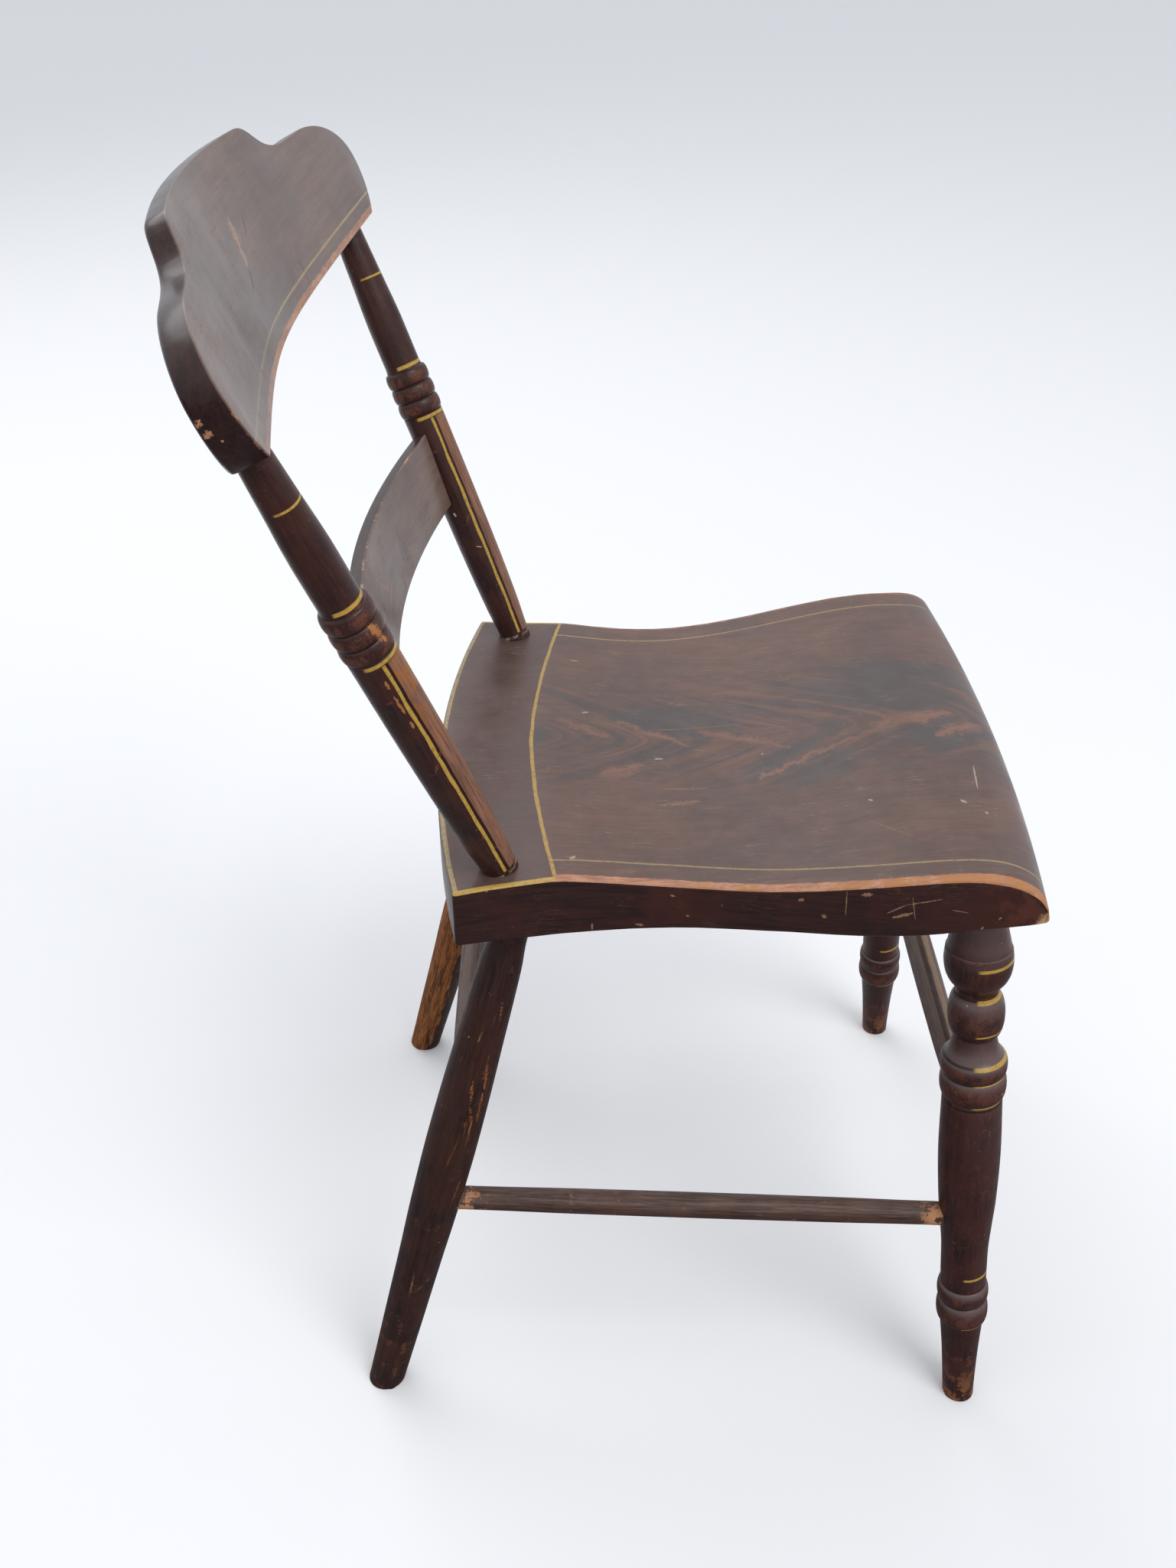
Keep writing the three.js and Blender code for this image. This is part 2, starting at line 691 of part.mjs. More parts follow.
function seatBody() {
  let body = seatBlank();
  for (const side of [-1, 1]) {
    const post = postLine(side);
    const postHole = [
      [-postSocketDepth - clearance, postSeatRadius + clearance],
      [0, postSeatRadius + clearance],
      [postAnkleAlong, postAnkleRadius + clearance],
    ];
    const front = frontLegLine(side);
    const frontHole = [
      [frontUndersideAlong() - beyond / 2, frontTenonRadius + clearance],
      [frontUndersideAlong() + frontSocketDepth + clearance, frontTenonRadius + clearance],
    ];
    const rear = rearLegLine(side);
    const rearHole = [
      [rearUndersideAlong() - beyond / 2, rearTenonRadius + clearance],
      [rearUndersideAlong() + rearSocketDepth + clearance, rearTenonRadius + clearance],
    ];
    body = body.subtract(turned(postHole, post.base, post.tip));
    body = body.subtract(turned(frontHole, front.base, front.tip));
    body = body.subtract(turned(rearHole, rear.base, rear.tip));
  }
  return body;
}

function frontLegBody(side) {
  const line = frontLegLine(side);
  return turned(frontLegProfile(), line.base, line.tip)
    .subtract(belowFloor())
    .subtract(rodSockets(sideStretcherEnds(side), sideStretcherEndRadius))
    .subtract(rodSockets(frontStretcherEnds, frontStretcherEndRadius));
}

function rearLegBody(side) {
  const line = rearLegLine(side);
  return turned(rearLegProfile(), line.base, line.tip)
    .subtract(belowFloor())
    .subtract(rodSockets(sideStretcherEnds(side), sideStretcherEndRadius))
    .subtract(rodSockets(rearStretcherEnds, rearStretcherEndRadius));
}

function postBody(side) {
  const line = postLine(side);
  return turned(postProfile(), line.base, line.tip)
    .subtract(aboveCrestUnderside())
    .add(postTenon(side))
    .subtract(railBody(clearance));
}

const darkPaint = 0x3c2a26;
const seatPaint = 0x5e4740;
const crestPaint = 0x54443f;
const wornPaint = 0x6a4229;
const glossy = 0.34;
const dull = 0.5;

const chair = new THREE.Group();
chair.name = 'chair';
chair.add(meshOf('seat_plank', seatBody(), seatPaint, glossy));
chair.add(meshOf('crest_rail', crestBody(), crestPaint, glossy));
chair.add(meshOf('mid_rail', railBody(), crestPaint, glossy));
for (const [word, side] of [['left', 1], ['right', -1]]) {
  chair.add(meshOf(`back_post_${word}`, postBody(side), darkPaint, glossy));
  chair.add(meshOf(`front_leg_${word}`, frontLegBody(side), darkPaint, glossy));
  chair.add(meshOf(`rear_leg_${word}`, rearLegBody(side), wornPaint, dull));
  const rod = rodBody(sideStretcherEnds(side), sideStretcherRadius, sideStretcherEndRadius);
  chair.add(meshOf(`side_stretcher_${word}`, rod, darkPaint, dull));
}
chair.add(meshOf('front_stretcher',
  rodBody(frontStretcherEnds, frontStretcherRadius, frontStretcherEndRadius), darkPaint, glossy));
chair.add(meshOf('rear_stretcher',
  rodBody(rearStretcherEnds, rearStretcherRadius, rearStretcherEndRadius), darkPaint, dull));

// The chair is centred front to back over the origin
const middle = new THREE.Box3().setFromObject(chair).getCenter(new THREE.Vector3());
for (const mesh of chair.children) {
  mesh.geometry.translate(0, -middle.y, 0);
}

export default chair;
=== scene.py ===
"""An old plank seat side chair in worn dark paint with yellow pinstripes. Metres, +Z up, the sitter faces -Y."""
import math

import bmesh
import bpy
from mathutils import Matrix, Vector


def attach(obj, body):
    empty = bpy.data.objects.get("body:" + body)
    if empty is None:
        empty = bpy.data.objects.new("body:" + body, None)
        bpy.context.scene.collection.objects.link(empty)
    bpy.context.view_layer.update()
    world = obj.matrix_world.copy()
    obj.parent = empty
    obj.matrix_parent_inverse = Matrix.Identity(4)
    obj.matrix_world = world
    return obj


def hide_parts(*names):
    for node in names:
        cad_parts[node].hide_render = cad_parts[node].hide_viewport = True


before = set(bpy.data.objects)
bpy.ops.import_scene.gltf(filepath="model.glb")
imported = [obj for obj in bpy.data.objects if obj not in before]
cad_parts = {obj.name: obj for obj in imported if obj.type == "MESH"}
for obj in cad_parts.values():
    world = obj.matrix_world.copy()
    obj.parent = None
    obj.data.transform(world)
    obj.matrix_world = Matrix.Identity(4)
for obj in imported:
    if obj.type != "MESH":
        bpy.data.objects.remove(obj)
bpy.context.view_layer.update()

MM = 0.001

# Everything front to back is measured from the seat's own line, then moved by this much
MIDDLE = -33.196

# Seat plank
SEAT_REAR_Y = 157.0
SEAT_REAR_CORNER_Y = 138.0
SEAT_NOSE_Y = -215.0
SEAT_NOSE_CORNER_Y = -205.0
CROSS_LINE_Y = 96.0
CROSS_LINE_BOW = 18.0
SIDE_LINE_MARGIN = 20.0

# Half the seat's width at places along it, from the front, waisted behind the middle
SEAT_EDGE = [(-215, 187), (-192, 182.7), (-172, 179.6), (-152, 178.9), (-132, 177.9), (-112, 176.1), (-91, 173.5), (-71, 170.5),
             (-51, 167.4), (-30, 163.8), (-9, 160.5), (12, 158.2), (34, 157.3), (56, 157.7), (77, 158.9),
             (97, 161.4), (118, 164.5), (138, 168.6)]

# The legs and posts, each as the two ends of its axis for the sitter's left side
FRONT_LEG = (Vector((191, -207, 0)), Vector((139.3, -180, 400)))
REAR_LEG = (Vector((175.8, 207.1, 0)), Vector((130.8, 103, 400)))
POST_SEAT = Vector((143.1, 111.3, 438.96))
POST_SPLAY = math.radians(9.73)
POST_LEAN = math.radians(20.8)
POST_LENGTH = 302.3

# Crest rail and mid rail
CREST_LEAN = math.radians(26.7)
CREST_BOW = 28.0
CREST_THICKNESS = 22.5
CREST_TOP_THICKNESS = 13.5
CREST_POST_SETBACK = 12.5
CREST_BOTTOM_HALF = 214.5
CREST_HALF = 233.0
RAIL_START = 112.0
RAIL_HEIGHT = 52.0
RAIL_THICKNESS = 10.0
RAIL_BOW = 26.0
RAIL_SETBACK = 5.0

# Marks on the crest rail: along it and up its face, with a width
CREST_TAN_TRACES = [((12.0, 0.0, 66.0), (3.0, 0.0, 52.0), 8.0), ((3.0, 0.0, 52.0), (-4.0, 0.0, 40.0), 6.0)]
CREST_DARK_TRACES = [((2.0, 0.0, 44.0), (-20.0, 0.0, 31.0), 2.6), ((75.0, 0.0, 21.0), (71.0, 0.0, 4.0), 1.6),
                     ((36.0, 0.0, 62.0), (22.0, 0.0, 52.0), 1.6)]
CREST_END_SCUFFS = [((0.0, 11.5, 33.0), (0.0, 15.0, 30.0), 3.6), ((0.0, 10.5, 26.5), (0.0, 15.0, 24.5), 3.8),
                    ((0.0, 17.0, 36.0), (0.0, 18.0, 34.0), 1.8), ((0.0, 9.0, 20.0), (0.0, 10.0, 19.0), 1.6)]

# Marks on top of the seat: across it and along it, with a width
RUSTY_STROKES = [((20.8, 78.6), (1.9, 44.2), 6.0), ((22.0, 40.2), (-4.8, -7.8), 6.0),
                 ((10.9, -17.5), (-17.8, -75.3), 8.0), ((-47.7, -53.8), (-11.6, -123.3), 6.5),
                 ((-11.6, -123.3), (1.0, -178.0), 6.0), ((-3.7, -129.5), (4.6, -185.6), 12.0),
                 ((-20.2, -169.6), (-7.4, -203.0), 11.0), ((-46.3, 52.9), (-30.4, 22.8), 9.0)]
SMEARS = [((-57.3, 12.0), (-57.3, -18.0), 2.6), ((-75.4, 13.0), (-71.5, -12.0), 5.5),
          ((13.4, 16.0), (17.7, -49.0), 1.0), ((127.6, -100.6), (121.7, -116.0), 1.1),
          ((134.0, -116.0), (135.7, -136.0), 1.0), ((114.0, -60.0), (118.0, -76.0), 1.2),
          ((-109.0, -110.0), (-138.0, -140.0), 0.9)]
NICKS = [((-58.6, -185.0), (-84.8, -182.3), 1.5), ((31.7, 62.5), (32.6, 58.0), 2.6),
         ((-22.6, 14.9), (-22.0, 9.0), 2.2), ((-137.4, 69.9), (-134.0, 67.0), 3.4),
         ((102.7, 70.6), (102.0, 65.0), 1.6), ((-97.7, -168.8), (-101.0, -172.0), 3.0),
         ((-109.6, -181.7), (-112.0, -183.0), 2.4), ((-88.7, -114.5), (-90.5, -117.0), 2.6)]

# Scrapes on the seat's right side: along it and up it, with a width
SIDE_SCRAPES = [((-113.5, 428.8), (-124.0, 435.8), 1.3), ((-124.0, 435.8), (-144.0, 440.6), 1.3),
                ((-126.9, 441.4), (-130.1, 425.2), 0.9), ((-117.0, 426.0), (-128.0, 430.0), 3.2),
                ((-89.6, 443.0), (-90.3, 425.0), 0.9), ((-98.0, 441.0), (-104.0, 442.0), 3.4),
                ((-178.5, 429.6), (-177.5, 427.5), 2.4), ((-169.3, 421.8), (-169.0, 418.8), 1.8),
                ((-166.2, 418.6), (-166.0, 415.0), 1.4), ((-65.6, 434.6), (-63.0, 433.0), 3.6),
                ((-77.0, 424.0), (-79.5, 422.5), 3.2), ((11.0, 429.0), (8.0, 428.0), 1.8),
                ((31.3, 406.5), (26.0, 405.6), 2.4), ((56.9, 407.5), (56.9, 402.5), 1.6),
                ((1.1, 414.4), (-0.6, 413.8), 1.8), ((-150.0, 433.0), (-160.0, 431.0), 0.8)]

# Rubbed places on turned pieces: up the axis, degrees round from the front and out, with a width
NEAR_POST_RUBS = [((163, -73, 14), (157, -73, 14), 2.6), ((152, -74, 14), (139, -72, 14), 2.4),
                  ((133, -72, 14), (128, -72, 14), 2.2), ((197, -42, 15), (182, -24, 15), 7.0)]
FAR_POST_NICKS = [((76, -86, 13.4), (74, -70, 13.4), 1.0), ((104, -110, 13.8), (101, -108, 13.8), 2.2)]
REAR_LEG_RUBS = [((397, -114, 14), (366, -106, 15), 1.5), ((357, -67, 15), (338, -59, 15), 2.2),
                 ((306, -64, 16), (283, -52, 16), 3.4), ((290, -86, 16), (271, -78, 16), 2.6),
                 ((280, -54, 16), (254, -49, 16), 3.6), ((331, -94, 15), (318, -100, 15), 1.6),
                 ((270, -78, 16), (252, -60, 16), 3.0), ((240, -84, 17), (214, -96, 17), 1.5),
                 ((205, -50, 17), (180, -58, 17), 1.6), ((120, -100, 15), (92, -96, 15), 1.6)]

# Heights at which the stretchers meet the leg axes
SIDE_ROD_FRONT = 163.0
SIDE_ROD_REAR = 169.0
FRONT_ROD = 236.0
REAR_ROD = 243.0


def post_direction(side):
    return Vector((side * math.tan(POST_SPLAY), math.tan(POST_LEAN), 1)).normalized()


def placed(point, side=1):
    """A point of the left side in metres, in the finished chair's place, or its twin on the right."""
    return Vector((side * point.x, point.y + MIDDLE, point.z)) * MM


def at_height(line, height):
    share = height / line[1].z
    return line[0].lerp(line[1], share)


# Modelling helpers

def deselect_all():
    if bpy.context.object and bpy.context.object.mode != "OBJECT":
        bpy.ops.object.mode_set(mode="OBJECT")
    bpy.ops.object.select_all(action="DESELECT")


def open_piece(piece):
    deselect_all()
    piece.select_set(True)
    bpy.context.view_layer.objects.active = piece
    bpy.ops.object.mode_set(mode="EDIT")


def close_piece():
    bpy.ops.object.mode_set(mode="OBJECT")


def pick(kind, test):
    """Selects the vertices, edges or faces of the open piece that pass the test."""
    piece = bpy.context.object
    shape = bmesh.from_edit_mesh(piece.data)
    bpy.ops.mesh.select_all(action="DESELECT")
    count = 0
    for item in getattr(shape, kind):
        chosen = bool(test(item))
        if chosen:
            item.select_set(True)
            count += 1
    shape.select_flush_mode()
    bmesh.update_edit_mesh(piece.data)
    return count


def select_mode(kind):
    bpy.ops.mesh.select_mode(type=kind)


def first_vertex(name, point):
    """A new open piece that is one selected vertex."""
    deselect_all()
    bpy.ops.mesh.primitive_plane_add(size=0.001, location=point)
    piece = bpy.context.object
    piece.name = name
    bpy.ops.object.transform_apply(location=True, rotation=True, scale=True)
    bpy.ops.object.mode_set(mode="EDIT")
    select_mode("VERT")
    bpy.ops.mesh.select_all(action="SELECT")
    bpy.ops.mesh.merge(type="CENTER")
    return piece


def draw_line(points):
    """Extrudes the selected vertex through the points that follow the first."""
    for before, after in zip(points, points[1:]):
        bpy.ops.mesh.extrude_region_move(TRANSFORM_OT_translate={"value": after - before})


def clean_piece(piece, smooth_angle=40):
    open_piece(piece)
    bpy.ops.mesh.select_all(action="SELECT")
    bpy.ops.mesh.remove_doubles(threshold=1e-5)
    bpy.ops.mesh.normals_make_consistent(inside=False)
    close_piece()
    bpy.ops.object.shade_smooth_by_angle(angle=math.radians(smooth_angle))


def curve_through(points, steps):
    """Points on a smooth line through the given (along, radius) pairs, with no overshoot."""
    made = []
    n = len(points)
    slopes = []
    for i in range(n):
        if i in (0, n - 1):
            j = 1 if i == 0 else n - 1
            slopes.append((points[j][1] - points[j - 1][1]) / (points[j][0] - points[j - 1][0]))
            continue
        before = (points[i][1] - points[i - 1][1]) / (points[i][0] - points[i - 1][0])
        after = (points[i + 1][1] - points[i][1]) / (points[i + 1][0] - points[i][0])
        slopes.append(0 if before * after <= 0 else 2 * before * after / (before + after))
    for i in range(n - 1):
        (a, ra), (b, rb) = points[i], points[i + 1]
        width = b - a
        for k in range(steps):
            t = k / steps
            value = (ra * (1 + 2 * t) * (1 - t) ** 2 + rb * t * t * (3 - 2 * t)
                     + width * slopes[i] * t * (1 - t) ** 2 - width * slopes[i + 1] * t * t * (1 - t))
            made.append((a + width * t, value))
    made.append(points[-1])
    return made


def round_bead(start, height, root, crown, steps=9):
    """A half round bead between two quirks."""
    made = []
    for k in range(steps + 1):
        angle = math.pi * k / steps
        made.append((start + height * (1 - math.cos(angle)) / 2, root + (crown - root) * math.sin(angle)))
    return made


def turn(name, profile, flats=56):
    """Turns (along, radius) pairs about the upright axis, as a lathe does."""
    points = [Vector((0, 0, profile[0][0])) * MM]
    points += [Vector((0, -radius, along)) * MM for along, radius in profile]
    points.append(Vector((0, 0, profile[-1][0])) * MM)
    piece = first_vertex(name, points[0])
    draw_line(points)
    bpy.ops.mesh.select_all(action="SELECT")
    bpy.ops.mesh.spin(steps=flats, angle=2 * math.pi, center=(0, 0, 0), axis=(0, 0, 1))
    close_piece()
    clean_piece(piece)
    return piece


def lean_of(start, end):
    return Vector((0, 0, 1)).rotation_difference(end - start)


def stand_copy(pattern, name, start, end):
    """A copy of a turned piece with its own mesh, leaned so that its axis runs from start to end."""
    deselect_all()
    pattern.select_set(True)
    bpy.context.view_layer.objects.active = pattern
    bpy.ops.object.duplicate()
    piece = bpy.context.object
    piece.name = name
    piece.rotation_mode = "QUATERNION"
    piece.rotation_quaternion = lean_of(start, end)
    piece.location = start
    bpy.ops.object.transform_apply(location=True, rotation=True, scale=True)
    piece.rotation_mode = "XYZ"
    return piece


def cut_below(piece, point, normal):
    """Cuts a piece off flat on the side that the normal points away from."""
    open_piece(piece)
    bpy.ops.mesh.select_all(action="SELECT")
    bpy.ops.mesh.bisect(plane_co=point, plane_no=normal, use_fill=True, clear_inner=True)
    close_piece()


def ease_foot(piece):
    """Rounds the worn rim of a foot where it stands on the floor."""
    open_piece(piece)
    select_mode("EDGE")
    pick("edges", lambda e: all(abs(v.co.z) < 1e-6 for v in e.verts))
    bpy.ops.mesh.bevel(offset=0.0014, segments=3, profile=0.6)
    close_piece()


def discard(piece):
    bpy.data.objects.remove(piece, do_unlink=True)


# Turned profiles, from the floor or the seat up, in millimetres

def front_leg_profile():
    foot = curve_through([(-30, 10.4), (0, 10.8), (41, 12.5), (73, 14.8)], 4)
    ankle = curve_through([(106.2, 15.4), (116, 15.5), (136, 15.7), (160, 17.3), (184, 19.1), (222, 20.2), (265.6, 19.3)], 6)
    cove = curve_through([(299.4, 19.2), (301.6, 17.3), (305, 15.6), (310, 14.3), (315.6, 13.4)], 4)
    vase = curve_through([(346.2, 13.4), (349.5, 13.3), (353, 15.2), (358, 18.6), (364, 20.7), (371, 21.4), (379.4, 20.6)], 5)
    neck = curve_through([(379.9, 19.9), (383, 19.4), (389, 18.1), (396, 16.6), (404, 14.8), (416, 13.2), (432, 12.5)], 3)
    return [*foot, *round_bead(73.2, 18.6, 15.2, 17.7), *round_bead(92.2, 13.8, 15.4, 17.5), *ankle,
            *round_bead(268.6, 17.6, 18.9, 21.3), *round_bead(286.6, 12.6, 19.4, 21.3), *cove,
            *round_bead(316, 30, 13.4, 17.9, 14), *vase, *neck]


def rear_leg_profile():
    return curve_through([(-35, 12.3), (0, 12.6), (60, 13.9), (120, 15.2), (170, 16.6), (220, 17.2), (265, 16.6),
                          (310, 15.4), (372, 13.6), (392, 12), (420, 11.5)], 5)


def post_profile():
    lower = curve_through([(-16, 10.5), (0, 10.6), (28, 12.2), (74, 13.4), (130, 13.9), (174.6, 14.0)], 6)
    beads = []
    for i in range(3):
        beads += round_bead(175 + 10.6 * i + 0.15, 10.3, 13.4, 15.0)
    upper = curve_through([(207, 12.6), (211, 12.2), (235, 12.2), (275, 10.6), (318, 8.8)], 6)
    return [*lower, *beads, *upper]


def rod_profile(length, radius, end_radius):
    return curve_through([(0, end_radius), (26, end_radius), (length * 0.25, end_radius + (radius - end_radius) * 0.72),
                          (length * 0.5, radius), (length * 0.75, end_radius + (radius - end_radius) * 0.72),
                          (length - 26, end_radius), (length, end_radius)], 6)


# Seat plank

def seat_half_width(y):
    return through(SEAT_EDGE, y)


def through(known, y):
    if y <= known[0][0]:
        return known[0][1]
    for (a, va), (b, vb) in zip(known, known[1:]):
        if y <= b:
            t = (y - a) / (b - a)
            return va + (vb - va) * t
    return known[-1][1]


def seat_top(y):
    known = [(-215, 431.5), (-213.6, 437.6), (-211, 442.3), (-207, 446.3), (-202, 449.3), (-196, 451.6), (-188, 453.2),
             (-178, 453.9), (-166, 454.0), (-152, 453.2), (-132, 450.8), (-112, 447.7), (-91, 444.3), (-71, 441.1),
             (-51, 438.5), (-30, 436.6), (-9, 435.7), (12, 435.7), (33, 436.8), (55, 438.8), (68, 440.2),
             (78, 440.9), (92, 440.2), (118, 438.7), (138, 437.4)]
    return through(known, y)


def seat_bottom(y):
    known = [(-215, 430.0), (-213.6, 428.2), (-210, 426.8), (-204, 424.8), (-191, 421.2), (-172, 417.2), (-150, 413.2),
             (-110, 410.0), (-62, 408.2), (-14, 405.0), (23, 402.4), (60, 400.2), (93, 398.8), (138, 398.5)]
    return through(known, y)


def seat_plank():
    """Extruded forward from its rear end station by station, then bowed at both ends and eased."""
    stations = [138, 130, 118, 106, 95, 86, 80, 74, 66, 55, 44, 33, 20, 8, -6, -20, -34, -48, -62, -76, -90, -104, -118,
                -132, -144, -155, -165, -174, -182, -189, -195, -200, -204, -207.5, -210, -212, -213.6, -215]
    first = stations[0]
    low, high = seat_bottom(first), seat_top(first)
    deselect_all()
    bpy.ops.mesh.primitive_plane_add(size=1, location=Vector((0, first, (low + high) / 2)) * MM,
                                     rotation=(math.radians(90), 0, 0))
    seat = bpy.context.object
    seat.name = "seat_board"
    seat.scale = (2 * seat_half_width(first) * MM, (high - low) * MM, 1)
    bpy.ops.object.transform_apply(location=True, rotation=True, scale=True)
    bpy.ops.object.mode_set(mode="EDIT")
    bpy.ops.mesh.select_all(action="SELECT")
    before = (first, low, high)
    for y in stations[1:]:
        low, high = seat_bottom(y), seat_top(y)
        middle, was_middle = (low + high) / 2, (before[1] + before[2]) / 2
        step = Vector((0, y - before[0], middle - was_middle)) * MM
        bpy.ops.mesh.extrude_region_move(TRANSFORM_OT_translate={"value": step})
        wider = seat_half_width(y) / seat_half_width(before[0])
        taller = (high - low) / (before[2] - before[1])
        bpy.ops.transform.resize(value=(wider, 1, taller), center_override=Vector((0, y, middle)) * MM)
        before = (y, low, high)
    select_mode("EDGE")
    pick("edges", lambda e: abs(e.verts[0].co.x + e.verts[1].co.x) < 1e-4 and abs(e.verts[0].co.x - e.verts[1].co.x) > 0.1)
    bpy.ops.mesh.subdivide(number_cuts=27)
    pick("edges", lambda e: abs(e.verts[0].co.z - e.verts[1].co.z) > 0.012 and abs(e.verts[0].co.y - e.verts[1].co.y) < 1e-5)
    bpy.ops.mesh.subdivide(number_cuts=3)
    shape = bmesh.from_edit_mesh(seat.data)
    shares = sorted({round(v.co.x / (seat_half_width(v.co.y / MM) * MM), 3) for v in shape.verts if abs(v.co.y / MM - 33) < 0.01})
    select_mode("VERT")
    for share in shares:
        bow = 1 - share * share
        for rear in (True, False):
            ratio = 1 + bow * ((SEAT_REAR_Y / SEAT_REAR_CORNER_Y - 1) if rear else (SEAT_NOSE_Y / SEAT_NOSE_CORNER_Y - 1))
            if not rear:
                ratio *= SEAT_NOSE_CORNER_Y / SEAT_NOSE_Y
            pick("verts", lambda v: (v.co.y > 0) == rear
                 and abs(v.co.x / (seat_half_width(v.co.y / MM) * MM) - share) < 0.002)
            bpy.ops.transform.resize(value=(1, ratio, 1), center_override=(0, 0, 0))
    select_mode("EDGE")
    pick("edges", seat_rim_edge)
    bpy.ops.mesh.bevel(offset=0.0024, segments=3, profile=0.62)
    bpy.ops.mesh.select_all(action="SELECT")
    bpy.ops.transform.translate(value=(0, MIDDLE * MM, 0))
    close_piece()
    clean_piece(seat, 38)
    return seat


def seat_rim_edge(edge):
    """The edges between the top or underside and the upright sides and rear."""
    if len(edge.link_faces) != 2:
        return False
    a, b = (face.normal for face in edge.link_faces)
    return a.angle(b) > math.radians(50)


# Boards of the back

def crest_back(s):
    knee = 0.45 * CREST_BOTTOM_HALF
    reach = math.hypot(CREST_BOTTOM_HALF, knee)
    return CREST_BOW * (reach - math.hypot(s, knee)) / (reach - knee)


def crest_origin():
    top = POST_SEAT + post_direction(1) * POST_LENGTH
    middle = crest_back(top.x) + CREST_POST_SETBACK
    return Vector((0, top.y - middle * math.cos(CREST_LEAN), top.z + middle * math.sin(CREST_LEAN)))


def bezier(a, b, c, d, steps):
    made = []
    for k in range(1, steps + 1):
        t = k / steps
        made.append(a * (1 - t) ** 3 + 3 * b * t * (1 - t) ** 2 + 3 * c * t * t * (1 - t) + d * t ** 3)
    return made


def crest_outline():
    """The crest rail's outline seen square to its face, from the right bottom corner round and back."""
    def at(s, v):
        return Vector((s, 0, v))
    points = [at(214.5, 0)]
    points += bezier(points[-1], at(224, 7), at(235, 22), at(234, 38), 14)
    points += bezier(points[-1], at(233, 55), at(206, 70), at(172, 72), 16)
    points += bezier(points[-1], at(147, 73.5), at(131, 73), at(118, 82), 12)
    points += bezier(points[-1], at(110, 88), at(106, 97), at(92, 98), 10)
    points += bezier(points[-1], at(60, 101), at(30, 102), at(0, 102), 8)
    points += [at(-p.x, p.z) for p in reversed(points[:-1])]
    return points


def flat_board(name, outline, thickness):
    """A flat board standing on y = 0 with its outline in x and z, filled and extruded backwards."""
    piece = first_vertex(name, outline[0] * MM)
    draw_line([p * MM for p in outline])
    bpy.ops.mesh.select_all(action="SELECT")
    bpy.ops.mesh.edge_face_add()
    bpy.ops.mesh.extrude_region_move(TRANSFORM_OT_translate={"value": (0, thickness * MM, 0)})
    bpy.ops.mesh.select_all(action="SELECT")
    bpy.ops.mesh.normals_make_consistent(inside=False)
    return piece


def slice_board(half, cuts):
    """Cuts the open board into upright strips so that it can be bowed."""
    for i in range(1, cuts):
        bpy.ops.mesh.select_all(action="SELECT")
        bpy.ops.mesh.bisect(plane_co=((-half + 2 * half * i / cuts) * MM, 0, 0), plane_no=(1, 0, 0))


def bow_board(back_at):
    """Pushes each upright line of vertices of the open board back by the bow at its distance from the middle."""
    select_mode("VERT")
    shape = bmesh.from_edit_mesh(bpy.context.object.data)
    lines = sorted({round(v.co.x, 5) for v in shape.verts})
    for x in lines:
        pick("verts", lambda v: round(v.co.x, 5) == x)
        bpy.ops.transform.translate(value=(0, back_at(x / MM) * MM, 0))


def lean_board(piece, lean, origin):
    close_piece()
    piece.rotation_euler = (-lean, 0, 0)
    piece.location = placed(origin)
    deselect_all()
    piece.select_set(True)
    bpy.context.view_layer.objects.active = piece
    bpy.ops.object.transform_apply(location=True, rotation=True, scale=True)


def crest_rail():
    piece = flat_board("crest_board", crest_outline(), CREST_THICKNESS)
    taper = math.atan((CREST_THICKNESS - CREST_TOP_THICKNESS) / 102)
    select_mode("VERT")
    shape = bmesh.from_edit_mesh(piece.data)
    heights = sorted({round(v.co.z, 5) for v in shape.verts})
    for z in heights:
        pick("verts", lambda v: v.co.y > 0.001 and round(v.co.z, 5) == z)
        bpy.ops.transform.translate(value=(0, -math.tan(taper) * z, 0))
    select_mode("EDGE")
    pick("edges", crest_front_edge)
    bpy.ops.mesh.bevel(offset=0.0014, segments=2, profile=0.6)
    pick("edges", crest_rear_edge)
    bpy.ops.mesh.bevel(offset=0.0035, segments=3, profile=0.55)
    slice_board(CREST_HALF, 46)
    bow_board(crest_back)
    lean_board(piece, CREST_LEAN, crest_origin())
    clean_piece(piece, 32)
    return piece


def crest_front_edge(edge):
    return all(v.co.y < 1e-6 for v in edge.verts)


def crest_rear_edge(edge):
    faces = edge.link_faces
    return len(faces) == 2 and all(v.co.y > 0.008 for v in edge.verts) and max(f.normal.y for f in faces) > 0.9 \
        and min(f.normal.y for f in faces) < 0.5


def rail_half(up):
    direction = post_direction(1)
    spread = direction.x / math.hypot(direction.y, direction.z)
    return (POST_SEAT + direction * RAIL_START).x + spread * up - 2.5


def rail_back(s):
    return RAIL_BOW * (1 - (s / rail_half(0)) ** 2)


def rail_origin():
    start = POST_SEAT + post_direction(1) * RAIL_START
    return Vector((0, start.y + RAIL_SETBACK * math.cos(POST_LEAN), start.z - RAIL_SETBACK * math.sin(POST_LEAN)))


